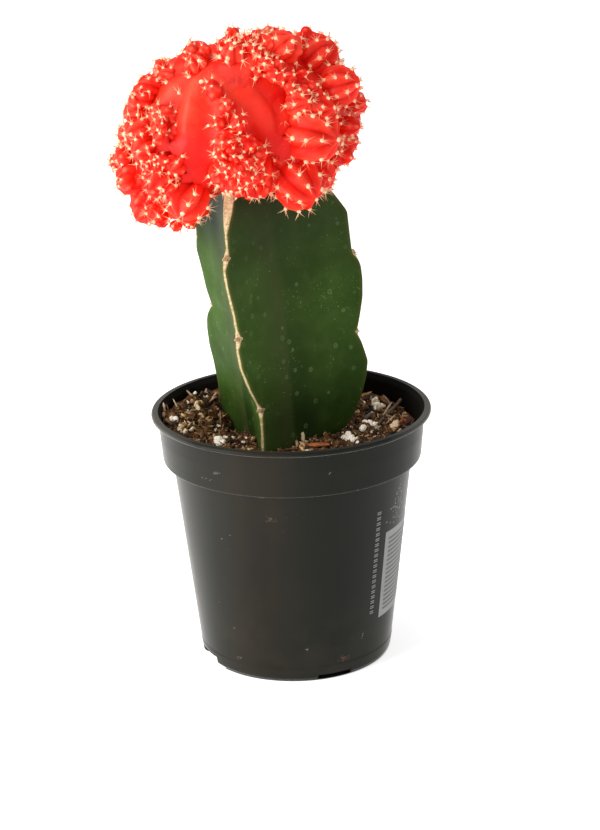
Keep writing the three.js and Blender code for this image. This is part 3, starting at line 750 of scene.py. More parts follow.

# %% [markdown]
# ## Slow waves and values for the skin
# Nothing that grew is dead straight, so slow waves push the skin in and out by a fifth of a millimetre.
# A sum of sines is enough for that and needs no texture. Five values are worked out for each point and
# kept in the mesh, because the finish can't know where an edge or a valley is: how much it is cork,
# how stained beside the cork, how much painted olive shade lies near a valley, how much painted shade
# lies in the valley, and how dark at a knob.


# %% Waves and normals
def waves(points, seed, length, count=10):
    """A sum of sines with random directions and phases, each about `length` mm long, between -1 and 1."""
    rng = np.random.default_rng(seed)
    turns = rng.normal(size=(count, 3))
    turns *= 2 * np.pi / length / np.linalg.norm(turns, axis=1)[:, None] * rng.uniform(0.6, 1.6, (count, 1))
    return np.sin(points @ turns.T + rng.uniform(0, 2 * np.pi, count)).sum(-1) / np.sqrt(2 * count) / 1.2


def grid_normals(points):
    """Cross product of the steps along rows and along columns, made one long."""
    across = np.roll(points, -1, 1) - np.roll(points, 1, 1)
    up = np.gradient(points, axis=0)
    normal = np.cross(across, up)
    return normal / np.linalg.norm(normal, axis=-1, keepdims=True)


ripple = 0.2 * waves(around, 4, 16) + 0.05 * waves(around, 5, 6)
calm_edge = 0.3 + 0.7 * np.clip(from_edge / 4, 0, 1)
living = 1 - cut_back(around[..., 2])  # read before the skin is moved
around = around + grid_normals(around) * (ripple * calm_edge)[..., None]
print("skin moved by up to", round(float(np.abs(ripple).max()), 2), "mm")

# %% Cork, stain, painted olive shade and painted shade near the valleys
KNOB_REACH, KNOB_CORK = 2.6, 0.75  # mm up and down from an areole, and mm of more cork there
margin = 0.31 + 0.1 * waves(around, 6, 3) + 1.4 * (1 - living)
for angle, wing in WINGS.items():
    facing = (around - [AXIS_X, 0, 0]) @ direction(angle, 0) > 8
    for z in wing["areoles"]:
        margin += KNOB_CORK * np.clip(1 - np.abs(around[..., 2] - z) / KNOB_REACH, 0, 1) * facing
cork = np.clip((margin - from_edge) / 0.3 + 0.5, 0, 1)
stain = np.clip((margin + 1.6 - from_edge) / 1.6, 0, 1)
# Painted shade near each valley: a dark strip along it, stronger lower down, and an olive band beyond it on
# one side.
low_down = np.clip((112 - around[..., 2]) / 35, 0, 1)
band_edge = 3.0 + 2.0 * low_down
olive = np.clip(1.25 - (to_valley - band_edge) / 9, 0, 1) * (0.8 + 0.2 * waves(around, 8, 9))
olive *= np.clip((to_valley - band_edge) / 2 + 1, 0, 1)
clockwise = np.exp(-((to_valley / 5.0) ** 2)) * (to_valley < 0)
shade = clockwise + (to_valley >= 0) * np.clip((band_edge - to_valley) / 1.5, 0, 1)
shade *= 0.4 + 0.6 * low_down
values = dict(cork=cork, stain=stain, olive=olive, shade=shade, knob=0 * cork)
values = {key: value.ravel() for key, value in values.items()}
rootstock_pile = Pile()
rootstock_pile.add(around, tube_faces(*around.shape[:2]), **values)
print("share that is cork:", round(float(cork.mean()), 3))


# %% [markdown]
# ## Woody knobs and their short spines
# Each areole on a wing's edge is a small woody knob, drawn out to a diamond along the edge, with a few
# short spines. A knob is a ball whose reach depends on the direction. A spine is three rings that get
# narrower along a bent line, and all spines are worked out in one array.


# %% Knobs and needles
def axes_along(aim, spin=0.0):
    """Three unit axes as rows: the shortest turn from upright to `aim`, after a spin about upright."""
    aim = np.asarray(aim, float) / np.linalg.norm(aim)
    v = np.array([-aim[1], aim[0], 0.0])
    k = np.array([[0, -v[2], v[1]], [v[2], 0, -v[0]], [-v[1], v[0], 0]])
    turn = np.eye(3) + k + k @ k / max(1 + aim[2], 1e-6)
    c, s = np.cos(spin), np.sin(spin)
    return (turn @ np.array([[c, -s, 0], [s, c, 0], [0, 0, 1]])).T


def knob(centre, aim, radii, rows=8, cols=16):
    """A ball times 1 / (0.55 + 0.45 (|x| + |y|)), x and y being the way's sideways parts: a soft diamond."""
    polar = np.linspace(0.12, np.pi - 0.12, rows)[:, None]
    turn = round_about(cols)
    flat = np.abs(np.sin(polar) * np.cos(turn)) + np.abs(np.sin(polar) * np.sin(turn))
    reach = 1 / (0.55 + 0.45 * np.maximum(flat, 0.6))
    unit = way_out(polar, turn) * reach[..., None]
    return (unit * radii) @ axes_along(aim) + centre, tube_faces(rows, cols, flip=True)


def needle_pile(pile, roots, aims, lengths, radius, bend=0.0, seed=1, sides=3, **values):
    """Tapered needles as arrays: rings at 0, 0.45 and 1 of the length, their radius falling to a point."""
    aims = aims / np.linalg.norm(aims, axis=1, keepdims=True)
    rng = np.random.default_rng(seed)
    other = np.cross(aims, rng.normal(size=aims.shape))
    other /= np.linalg.norm(other, axis=1, keepdims=True)
    third = np.cross(aims, other)
    turn = round_about(sides)
    rings = []
    for part, width in ((0.0, 1.0), (0.45, 0.75), (1.0, 0.12)):
        middle = roots + aims * (lengths * part)[:, None] + third * (bend * lengths * part**2)[:, None]
        rim = other[:, None] * np.cos(turn)[:, None] + third[:, None] * np.sin(turn)[:, None]
        rings.append(middle[:, None] + rim * radius * width)
    points = np.concatenate(rings, axis=1)
    one = grid(3, sides)
    tip = 2 * sides + np.arange(sides)[None, :]
    start = (np.arange(len(roots)) * 3 * sides)[:, None, None]
    faces = [(one[None] + start).reshape(-1, 4), (tip[None] + start).reshape(-1, sides)]
    pile.add(points, faces, **values)


KNOB_RADII = (1.4, 1.0, 0.65)  # along the edge, across it and outwards, in mm
SPINES_EACH = 5
dark_eye = np.repeat([1.0, 1.0, 0.3, 0, 0, 0, 0, 0], 16)  # one value for each ring of 16 points
corky = dict(cork=1.0, stain=1.0, olive=0.0, shade=0.0)
draw = dice(71)
for angle, wing in WINGS.items():
    out = direction(angle, 0)
    for z in wing["areoles"]:
        at = np.array([stem_axis(z), 0, z]) + out * (float(wing_edge(wing["edge"], z)) - 0.5)
        rootstock_pile.add(*knob(at, out, KNOB_RADII), knob=dark_eye, **corky)
        fan = np.array([[draw(-0.8, 0.8) for _ in range(3)] for _ in range(SPINES_EACH)]) + out
        lengths = np.array([draw(1.0, 1.9) for _ in range(SPINES_EACH)])
        roots = np.repeat(at[None], SPINES_EACH, 0) + out * 0.3
        needle_pile(rootstock_pile, roots, fan, lengths, 0.11, 0.1, 7, knob=0.3, **corky)
print("areoles on the rootstock:", sum(len(wing["areoles"]) for wing in WINGS.values()))

# %% [markdown]
# ## Green skin and cork
# The skin is a deep waxy green, a little yellower near the margin, with pale pores and a few ring-shaped
# scars. Painted shade darkens it in the valleys, towards the right and near the top, and a painted
# shadow of the head lies on the left wing. The cork is dry and tan, so it is rougher and finely pitted.
# Both finishes share one shader, and the point value that was worked out above picks between them.

# %% Green skin
skin = Finish("rootstock_skin")
skin.set(skin.shader, {"Specular IOR Level": 0.07})
sideways, high = skin.along("X"), skin.along("Z")
green = skin.mix(skin.remap(skin.noise(55, 4), 0.35, 0.7), srgb(46, 68, 21), srgb(61, 88, 30))
green = skin.coat(
    green,
    (skin.remap(skin.noise(240, 3), 0.45, 0.75, 0.0, 0.35), (74, 97, 44)),
    # painted olive shade and painted shade near the valleys
    (skin.times(skin.value("olive"), 0.85), (60, 69, 34)),
    (skin.times(skin.value("shade"), 0.75), (26, 42, 13)),
)
RING_RADIUS = 0.15  # a share of the distance between two dots
dot = skin.cells(230)
from_ring = skin.math("ABSOLUTE", skin.math("SUBTRACT", dot, RING_RADIUS))
scar = skin.math("ADD", skin.remap(from_ring, 0.05, 0.0, 0.0, 0.4), skin.remap(dot, 0.2, 0.12, 0.0, 0.16))
scarred = skin.times(skin.remap(skin.noise(60, 2), 0.42, 0.5), skin.remap(sideways, -0.004, 0.004, 0.5, 1.0))
green = skin.coat(green, (skin.times(scar, scarred), (120, 150, 96)))
# Scale, reach, strength and rarity of three sizes of pores.
PORES = [(310, 0.09, 1.0, 0.62), (520, 0.13, 0.45, 0.5), (800, 0.16, 0.3, 0.45)]
for scale, reach, strength, rarity in PORES:
    pore = skin.remap(skin.cells(scale), reach, 0.5 * reach, 0.0, strength)
    few = skin.remap(skin.noise(110, 2), rarity, rarity + 0.07)
    green = skin.coat(green, (skin.times(pore, few), (166, 182, 138)))
# Painted shade: a painted shadow of the head on the upper left, darker skin towards the right and painted
# shade near the top.
under_head = skin.times(skin.remap(high, 0.123, 0.134, 0.0, 0.9), skin.remap(sideways, -0.0185, -0.021))
green = skin.coat(
    green,
    (skin.remap(sideways, 0.012, 0.02, 0.0, 0.4), (32, 58, 12)),
    (skin.remap(high, 0.112, 0.146, 0.0, 0.8), (40, 50, 28)),
    (under_head, (24, 34, 20)),
    (skin.times(skin.value("stain"), 0.35), (104, 98, 44)),
)
print("green skin nodes:", len(skin.tree.nodes))

# %% Cork, and the whole skin
pits = skin.noise(1500, 4)
tan = skin.mix(skin.remap(pits, 0.35, 0.7), srgb(170, 142, 102), srgb(222, 202, 162))
tan = skin.coat(tan, (skin.times(skin.value("knob"), 0.8), (120, 82, 54)))
base = skin.mix(skin.value("cork"), green, tan)
rough = skin.remap(skin.value("cork"), 0.0, 1.0, 0.6, 0.85)
relief = skin.math("ADD", skin.times(skin.noise(500, 3), 0.4), skin.times(pits, skin.value("cork")))
skin_finish = skin.feed(Base_Color=base, Roughness=rough, Normal=skin.bump(relief, 0.35, 0.25))
show("rootstock_stem", rootstock_pile, skin_finish, "stem_skin", "rootstock")
print("skin nodes:", len(skin.tree.nodes))

# %% [markdown]
# ## The red head: where everything sits
# The grafted head is one ribbed mother body that has crowded itself with offsets. Each offset, or pup,
# is a small copy of the mother. The tables and dice are those of the solid, so each fine pup stands on
# its coarse one, and the crowd at the back follows the same golden-angle spiral.

# %% The head's tables
HEAD = np.array([-15.5, 0.0, 167.0])  # the middle of the head; its bodies are measured from here
MOTHER = dict(
    at=np.array([-3.0, 0, 0]), axis=(-0.14, -0.4, 0.9), radius=22.0, up=19.0, down=16.0, shoulder=0.6,
    ribs=10, first_rib=244.0, groove=0.11,
)
INNER_BALL = 20.5  # the ball that stands for the mother while pups are set on her
CORES = [  # x, y, z and radius
    (19, 0, 1, 15.5), (-17, 0, -5, 14), (-17, -9, -15, 10), (16, -5, -10, 11), (7, -4, 12.5, 12),
    (0, 9, -4, 15), (-7, -8, -10, 10),
]
PUPS = [  # x, y, z and radius
    # Top
    (12, 3, 20.2, 4.8), (1.5, 4, 19, 4.6), (-9, 3, 17.2, 4.6), (-17, 4, 10.5, 4.6), (28, 5, 12, 5),
    (16, -9, 21.5, 5), (26, -3, 18, 5.8), (22, 5, 19, 4.6), (2, -12, 20.5, 3.6), (-9, -9, 17.5, 3.6),
    (-10.3, -9, 21.4, 1.9), (-6.7, -9, 21.3, 1.8), (-2.5, -8, 21, 2.4), (1.3, -6, 24.5, 2.2),
    (-17.5, -6, 13, 3), (-19.3, -5, 16.3, 1.9),
    # Left
    (-22.5, -8, 11, 3.3), (-24.5, -9, 8.5, 3.4), (-26.5, -8, 3.5, 3.6), (-26, -12, -1, 4.1),
    (-29.5, -6, -3, 3.2), (-31, -6, -9.5, 3.6), (-33, -3, -11.5, 2.7), (-24.5, -14, -6, 4.1),
    (-15.2, -18, -10, 3.6), (-28.5, -8, -15.5, 4.8), (-20, -17, -14.5, 4.7), (-25, -9, -22.5, 4.5),
    (-12.5, -17, -20.5, 6.4), (-16.5, -19.5, -16.5, 3), (-25.4, -11, -24.8, 3.3), (-21.3, -13, -25.2, 3.6),
    # Right
    (19.5, -18, 7, 4), (25.5, -15, 4.5, 4.8), (23.5, -14, -2.5, 8.2), (31.5, -8, 10, 5.9),
    (35.8, -5, 4.5, 3), (34, -8, -2, 3.1), (33.6, -4, -7, 3.2), (31, -5, -10, 4.2), (25, -8, -15.5, 5.3),
    (19, -14, -16.8, 7.4),
    # Low front
    (2.5, -18, -10, 8.6), (9, -15, -15, 5),
]
CROWDS = [  # azimuth, elevation, how many, spread in degrees
    (309, 60, 5, 11), (307, 39, 4, 8), (315, 27, 3, 7), (328, 22, 3, 7), (258, 31, 2, 5),
    (268, 19, 2, 4), (271, 7, 2, 7), (276, -20, 9, 19), (283, -38, 2, 10), (224, -17, 2, 6),
    (223, 0, 2, 6), (222, 12, 2, 7), (212, -30, 3, 12), (226, -51, 1, 8), (197, -14, 2, 14),
    (200, 14, 1, 12), (350, 2, 1, 14), (344, -20, 1, 12),
]
core_balls = [(*MOTHER["at"], INNER_BALL), *CORES]
print("pups named in the table:", len(PUPS))


# %% [markdown]
# ## The crowds of pups
# At the back, which the camera doesn't see, pups follow a golden-angle spiral: each turns on by 137.5
# degrees from the last, which spreads any number of them evenly, as on a sunflower. Small pups come in
# crowds, each scattered about a direction. A ray from the head's middle finds the flesh to sit on.


# %% Back pups and crowds
GOLDEN = 137.5
BACK_PUPS = 34


def surface_along(aim, balls):
    """The farthest crossing of a ray from HEAD with any ball: c.d + sqrt((c.d)^2 - |c|^2 + r^2)."""
    table = np.array(balls, float)
    along = table[:, :3] @ aim
    room = along**2 - (table[:, :3] ** 2).sum(1) + table[:, 3] ** 2
    far = np.where(room > 0, along + np.sqrt(np.clip(room, 0, None)), 0)
    return max(0.0, float(far.max()))


def back_pups():
    """Height falls evenly while the azimuth turns by the golden angle; a pup stands 0.25 - 0.65 x^2 of its
    radius off the flesh, x being how far to the side it lies. Only the back below the top is kept."""
    draw = dice(11)
    found = []
    for i in range(BACK_PUPS):
        rise = 0.86 - 1.36 * ((i + 0.5) / BACK_PUPS)
        level = np.sqrt(1 - rise * rise)
        angle = np.radians((i * GOLDEN) % 360)
        aim = np.array([level * np.cos(angle), level * np.sin(angle), rise])
        size = draw(4.6, 8)
        if aim[1] >= 0.08 and aim[2] <= 0.72:
            off_flesh = (0.25 - 0.65 * aim[0] ** 2) * size
            found.append((*(aim * (surface_along(aim, core_balls) + off_flesh)), size))
    return found


def tiny_pups(balls):
    """Each crowd scatters its pups by the sum of two draws a way, and sinks them by 0.35 of their radius."""
    draw = dice(47)
    found = []
    for azimuth, elevation, count, spread in CROWDS:
        for _ in range(count):
            swing = (draw(-1, 1) + draw(-1, 1)) * 0.5 * spread
            lift = (draw(-1, 1) + draw(-1, 1)) * 0.5 * spread
            aim = direction(azimuth + swing / np.cos(np.radians(elevation)), elevation + lift)
            size = draw(1.8, 2.5)
            found.append((*(aim * (surface_along(aim, balls) - 0.35 * size)), size))
    return found


big_pups = PUPS + back_pups()
small_pups = tiny_pups(core_balls + big_pups)
print("pups:", len(big_pups), "and", len(small_pups), "tiny ones")

# %% Tiny pups seen one by one, from the middle of the head
SEEN_PUPS = [
    # The cleft right of the middle
    (10.3, -15, 18.4), (11.9, -16, 17.4), (14.2, -15, 17.2), (12.7, -18, 15), (14.7, -18, 14.1),
    (17.2, -17, 14.1), (21.2, -13, 14.4), (17.1, -19, 11.7), (23.6, -15, 11), (25.3, -15, 8.7),
    (21, -18, 10),
    # The chain down the middle
    (-4.7, -20, 12.9), (-3.9, -21, 11.7), (-0.9, -23, 7.8), (-3.5, -24, 2.9), (2.9, -25, 3),
    (-1.7, -26, -1.2),
    # Left
    (-21.3, -19, -7.4), (-19, -20, -7.8), (-20.6, -19, -10.3), (-21, -18, 1.3), (-18.7, -19, 0.9),
    (-19.6, -19, -1.7), (-20, -17, 6.5), (-17.7, -18, 5.5), (-19.2, -18, 3.5), (-21.2, -16, 4),
    # The row underneath
    (-20.4, -14, -27.3), (-16.1, -15, -28), (-12, -15, -27.5),
    # Top and right
    (5.6, -9, 23.8), (8.2, -8, 24.9), (10.7, -9, 23.3), (7, -12, 21.4), (10, -12, 20.8), (22.4, -2, 23.6),
    (37.8, -2, 2.4),
]
draw = dice(53)
seen_pups = [(*place, draw(1.7, 2.1)) for place in SEEN_PUPS]
print("seen pups:", len(seen_pups))

# %% [markdown]
# ## One pup as a formula
# A pup is nearly a ball. Grooves divide it into ribs, and each rib swells under its woolly areoles.
# Its surface can be moulded by hand, sculpted, or written as the distance from its middle in each
# direction. The formula is best here: it also answers whether any point lies inside the pup, which
# is needed to find the clefts and to leave out what is buried.

# %% Kinds of pup
KINDS = {
    "big": dict(ribs=7, rows=np.radians([34, 64, 94]), groove=0.15, swell=0.08),
    "middling": dict(ribs=6, rows=np.radians([38, 76]), groove=0.16, swell=0.11),
    "tiny": dict(ribs=4, rows=np.radians([60]), groove=0.14, swell=0.16),
}
BIG, MIDDLING = 5.2, 2.6  # radii in mm above which a pup is of that kind


def kind_of(radius):
    """The row of the table of kinds for a pup of that radius."""
    return KINDS["big" if radius > BIG else "middling" if radius > MIDDLING else "tiny"]


def make_pup(x, y, z, radius, spin, aim=None):
    """A pup's measures; it grows away from the head's middle unless an aim is given."""
    centre = np.array([x, y, z], float)
    axes = axes_along(centre if aim is None else aim, spin)
    return dict(centre=centre, radius=radius, axes=axes, wobble=spin * 7, **kind_of(radius))


def row_shift(pup, rib):
    """Odd ribs start half a space farther from the tip, and each is off by 0.12 sin(2.3 rib + wobble)."""
    rows = pup["rows"]
    space = rows[1] - rows[0] if len(rows) > 1 else 0.0
    return np.mod(rib, 2) * 0.5 * space + 0.12 * np.sin(rib * 2.3 + pup["wobble"])


print("ribs of each kind:", {name: kind["ribs"] for name, kind in KINDS.items()})


# %% The shape of a pup
SWELL_ACROSS, SWELL_ALONG, TIP_SWELL_REACH = 0.26, 0.24, 0.25


def pup_reach(pup, polar, turn):
    """r (1 - groove |2u|^2.4 + swell sum exp(-(u / 0.26)^2 - ((p - row) / 0.24)^2) + a swell at the tip),
    u being the way across a rib from -0.5 to 0.5 and p the angle from the tip."""
    across = turn / (2 * np.pi) * pup["ribs"]
    rib = np.round(across)
    u = across - rib
    fade = np.clip((polar - 0.1) / 0.5, 0, 1)
    shape = 1 - pup["groove"] * fade * (2 * np.abs(u)) ** 2.4
    shift = row_shift(pup, rib)
    for row in pup["rows"]:
        near = (u / SWELL_ACROSS) ** 2 + ((polar - row - shift) / SWELL_ALONG) ** 2
        shape = shape + pup["swell"] * np.exp(-near)
    shape = shape + 0.6 * pup["swell"] * np.exp(-((polar / TIP_SWELL_REACH) ** 2))
    return pup["radius"] * shape


def pup_areoles(pup):
    """The tip, then each row of each rib: the points where the swellings are highest, and their ways out."""
    ribs = np.arange(pup["ribs"])
    rows = pup["rows"]
    polar = np.concatenate([[0.02], (rows[:, None] + row_shift(pup, ribs)).ravel()])
    turn = np.concatenate([[0.0], np.tile(round_about(pup["ribs"]), len(rows))])
    unit = way_out(polar, turn)
    reach = pup_reach(pup, polar, turn)
    return (unit * reach[:, None]) @ pup["axes"] + pup["centre"], unit @ pup["axes"]


def pup_outside(pup, points):
    """How far points lie outside the pup along the ray from its middle; negative inside."""
    local = (points - pup["centre"]) @ pup["axes"].T
    far = np.linalg.norm(local, axis=1)
    polar = np.arccos(np.clip(local[:, 2] / np.maximum(far, 1e-6), -1, 1))
    return far - pup_reach(pup, polar, np.arctan2(local[:, 1], local[:, 0]))


sample = make_pup(0, 0, 1, 1, 0)
print("areoles of a tiny pup:", len(pup_areoles(sample)[0]))

# %% [markdown]
# ## The mother's formula
# The mother is a flattened, leaning dome with ten broad ribs. In each level slice she is a circle that
# is pinched in the valleys, and the slices follow a quarter oval above and below her widest place.
# Again a formula answers both questions: where the skin is, and whether a point is inside it.


# %% The shape of the mother
MOTHER_AXES = axes_along(MOTHER["axis"])


def mother_groove(azimuth):
    """0.11 |sin(pi u)|^1.5, u the way across a rib: 0 on the crests, which are sharper than the valleys."""
    u = (azimuth - np.radians(MOTHER["first_rib"])) / (2 * np.pi) * MOTHER["ribs"]
    return MOTHER["groove"] * np.abs(np.sin(np.pi * u)) ** 1.5


def mother_points(azimuth, elevation):
    """(L cos a, L sin a, h sin e) along the leaning axes, L = r cos(e)^0.6 (1 - groove) being the level
    radius and h the upper or the lower half height."""
    level = MOTHER["radius"] * np.clip(np.cos(elevation), 0, 1) ** MOTHER["shoulder"]
    level = level * (1 - mother_groove(azimuth))
    high = np.where(elevation > 0, MOTHER["up"], MOTHER["down"])
    own = np.stack([level * np.cos(azimuth), level * np.sin(azimuth), high * np.sin(elevation)], -1)
    return own @ MOTHER_AXES + MOTHER["at"]


SLOPES = np.radians(np.linspace(-89.9, 89.9, 721))
SLOPE_HIGH = np.where(SLOPES > 0, MOTHER["up"], MOTHER["down"]) * np.sin(SLOPES)
SLOPE_LEVEL = MOTHER["radius"] * np.cos(SLOPES) ** MOTHER["shoulder"]


def mother_outside(points):
    """How far past the skin along the ray from the middle; the ray's steepness is looked up in a table."""
    x, y, z = ((points - MOTHER["at"]) @ MOTHER_AXES.T).T
    level = np.maximum(np.hypot(x, y), 1e-6)
    narrowed = 1 - mother_groove(np.arctan2(y, x))
    steep = z * narrowed / level
    table = SLOPE_HIGH / SLOPE_LEVEL
    skin_level = np.interp(steep, table, SLOPE_LEVEL) * narrowed
    return np.hypot(level, z) - np.hypot(skin_level, np.interp(steep, table, SLOPE_HIGH))


def mother_surface(rows=96, cols=240):
    """Elevation against azimuth, closed at the top; the stem's end covers the opening underneath."""
    elevation = np.radians(np.linspace(-76, 89.6, rows))[:, None]
    azimuth = round_about(cols)[None, :]
    points = mother_points(*np.broadcast_arrays(azimuth, elevation))
    furrow = np.repeat(mother_groove(azimuth) - 0.03, rows, 0)
    return points, furrow, tube_faces(rows, cols, first=False)


print("mother reaches", mother_surface()[0].reshape(-1, 3).max(0).round(1))

# %% [markdown]
# ## Bodies of the head
# The head is the mother, seven plain balls of flesh and all the pups. Each body gets a middle, how near
# to it another body's point has to be to matter, its formula for how far outside a point is, and its
# surface: points, how deep in a groove each one lies, and faces.


# %% Surfaces for every body
GRAIN = 0.5  # mm between two points of the flesh
MOTHER_NEAR = 26.0


def pup_surface(pup):
    """Polar angle against the way round; as many columns as the ribs need to keep each groove sharp."""
    rows = max(9, round(2.6 * pup["radius"] / GRAIN))
    half_ribs = 2 * pup["ribs"]
    cols = half_ribs * max(2, round(2 * np.pi * pup["radius"] / GRAIN / half_ribs))
    polar, turn = np.broadcast_arrays(np.linspace(0.05, 2.65, rows)[:, None], round_about(cols))
    reach = pup_reach(pup, polar, turn)
    points = (way_out(polar, turn) * reach[..., None]) @ pup["axes"] + pup["centre"]
    groove = 1 - reach / pup["radius"]
    return points, groove, tube_faces(rows, cols, last=False, flip=True)


def ball_surface(middle, radius, rows=30, cols=60):
    """A plain ball, for the flesh between the pups."""
    polar = np.linspace(0.05, np.pi - 0.05, rows)[:, None]
    points = way_out(polar, round_about(cols)) * radius + middle
    return points, np.zeros(points.shape[:2]), tube_faces(rows, cols, flip=True)


def body_of(middle, near, outside, surface, pup=None):
    """What every body has; `outside` is a function that measures any points."""
    return dict(middle=middle, near=near, outside=outside, surface=surface, pup=pup)


def ball_body(x, y, z, radius):
    """A ball's outside distance is the distance from the middle, less the radius."""
    middle = np.array([x, y, z], float)
    outside = lambda points: np.linalg.norm(points - middle, axis=1) - radius
    return body_of(middle, float(radius), outside, ball_surface(middle, radius))


def pup_body(pup):
    """A pup's swellings reach up to 1.2 radii from its middle."""
    outside = lambda points: pup_outside(pup, points)
    return body_of(pup["centre"], 1.2 * pup["radius"], outside, pup_surface(pup), pup)


TRUNKS = 1 + len(CORES)  # the mother and the plain balls of flesh come first in the list
draw = dice(3)
pups = [make_pup(*place, draw(0, np.pi)) for place in big_pups + small_pups]
pups += [make_pup(*place, draw(0, np.pi)) for place in seen_pups]
bodies = [body_of(MOTHER["at"], MOTHER_NEAR, mother_outside, mother_surface())]
bodies += [ball_body(*core) for core in CORES] + [pup_body(pup) for pup in pups]


def gathered():
    """The points of all bodies in one array, and for each point the number of its body."""
    clouds = [body["surface"][0].reshape(-1, 3) for body in bodies]
    return np.concatenate(clouds), np.repeat(np.arange(len(bodies)), [len(cloud) for cloud in clouds])


every_point, owner = gathered()
print("bodies:", len(bodies), "with", len(every_point), "points")

# %% [markdown]
# ## Tubercles placed along the camera's rays
# Low at the front the tubercles are packed like the drupelets of a bramble, and the mother's upper ribs
# carry a few lone areoles. Their places were noted in the picture one by one. A ray from the camera
# through each place meets the head somewhere, and that is where the tubercle stands, so it rests on
# the flesh from every side.

# %% Places noted in the picture
BRAMBLE = [
    (211, 86), (214, 91), (225, 106), (216, 124), (239, 124), (223, 140), (246, 138), (234, 149),
    (248, 149), (264, 152), (218, 156), (233, 158), (250, 163), (262, 163), (273, 161), (225, 173),
    (241, 174), (253, 177), (245, 188), (261, 181), (231, 188), (237, 200), (261, 194), (212, 179),
    (229, 115), (232, 131), (243, 117),
]
LONE_AREOLES = [
    (187, 77), (166, 82), (177, 93), (220, 57), (229, 63), (257, 81), (280, 104), (284, 120), (209, 68),
    (199, 63), (299, 116), (319, 114), (203, 80),
]
seen_x, seen_y, seen_depth = in_picture(every_point + HEAD)


def touch(pixels, within=2.6):
    """For each pixel, the nearest point of the head among those within 2.6 pixels, and its way out."""
    spots, ways = [], []
    for x, y in pixels:
        off = np.hypot(seen_x - x, seen_y - y)
        near = np.flatnonzero(off < max(within, off.min() + 0.5))
        first = near[np.argmin(seen_depth[near])]
        spots.append(every_point[first])
        ways.append(every_point[first] - bodies[owner[first]]["middle"])
    ways = np.array(ways)
    return np.array(spots), ways / np.linalg.norm(ways, axis=1, keepdims=True)


spots, ways = touch(BRAMBLE)
draw = dice(61)
for spot, way in zip(spots, ways):
    size = draw(1.9, 2.4)
    bodies.append(pup_body(make_pup(*(spot - 0.45 * size * way), size, draw(0, np.pi), way)))
lone_spots, lone_ways = touch(LONE_AREOLES)
print("bramble tubercles:", len(spots), "lone areoles:", len(lone_spots))

# %% [markdown]
# ## Clefts, and flesh that nobody sees
# Where two pups press together, painted shade makes the flesh a deeper red. For each point the formulas
# give how far it is outside every other body: a small distance means a cleft, and a negative one means
# that the point is buried. Faces that are buried with all their corners are left out, which a Boolean
# would also do, but slower and with broken shading along the seams.


# %% Distance to the neighbours
def gap_to_others(points, owners, far=2.5, first=0):
    """The least outside distance over all bodies but a point's own; only near points are tried."""
    gap = np.full(len(points), far)
    for i, body in list(enumerate(bodies))[first:]:
        near = np.linalg.norm(points - body["middle"], axis=1) < body["near"] + far
        near = np.flatnonzero(near & (owners != i))
        if len(near):
            gap[near] = np.minimum(gap[near], body["outside"](points[near]))
    return gap


every_point, owner = gathered()
every_groove = np.concatenate([body["surface"][1].ravel() for body in bodies])
gap = gap_to_others(every_point, owner)
trunk = owner < TRUNKS
print("points:", len(every_point), "buried:", int((gap < 0).sum()))

# %% [markdown]
# ## Soft valleys
# Two balls that are pushed together meet in a crease, but living flesh fills it in. A smooth least of
# two distances does this: where they are nearly equal it dips below both, so the skin has to move out
# to reach it. The mother and the plain balls are raised that way, in a few steps along the rays from
# their middles. Pups stay crisp and only swell a little where they touch.

# %% Raising the skin
BLEND = 7.0  # mm between two distances within which they melt into one
MOST_RAISED = 3


def trunk_field(points):
    """Smooth least of the outside distances a and b: min(a, b) - h^2 k / 4, where h = 1 - |a - b| / k > 0."""
    field = mother_outside(points)
    for body in bodies[1:TRUNKS]:
        other = body["outside"](points)
        h = np.clip(1 - np.abs(field - other) / BLEND, 0, 1)
        field = np.minimum(field, other) - h**2 * BLEND / 4
    return field


away = every_point - np.array([body["middle"] for body in bodies])[owner]
away /= np.linalg.norm(away, axis=1, keepdims=True)
raised = np.zeros(len(owner))
for _ in range(5):
    raised[trunk] -= trunk_field(every_point[trunk] + away[trunk] * raised[trunk, None])
raised = np.clip(raised, 0, MOST_RAISED)
# Painted shade in the soft valleys between the mother and the plain balls.
valley = 0.75 * np.clip(raised / 1.6, 0, 1)
raised[~trunk] = 0.35 * np.clip(1 - np.abs(gap[~trunk]) / 1.5, 0, 1) ** 2
print("flesh raised by up to", round(float(raised.max()), 2), "mm")

# %% How deep in a cleft each point is, for painted shade
UNDERSIDE_BELOW = 172  # mm above the floor
to_pup = gap.copy()
to_pup[trunk] = gap_to_others(every_point[trunk], owner[trunk], first=TRUNKS)
# The cleft value is painted shade: close to other pups, in the soft valleys and on the low side of the mother
# and the plain balls.
painted_underside_shade = 0.8 * np.clip((UNDERSIDE_BELOW - every_point[:, 2] - HEAD[2]) / 8, 0, 1) * trunk
cleft = np.max([np.clip(1 - to_pup / 0.9, 0, 1), valley, painted_underside_shade], axis=0)
every_groove[trunk] *= 1 - np.clip(raised[trunk] / 1.2, 0, 1)
print("points in a cleft:", int((cleft > 0.5).sum()))

# %% [markdown]
# ## One skin for each valley
# Two raised skins that share a valley would lie almost in the same place and flicker through each
# other. So a point is given up where another body is nearer to it than its own, and only one skin is
# left. The few areoles that stand alone on the mother get a low swelling of their own.

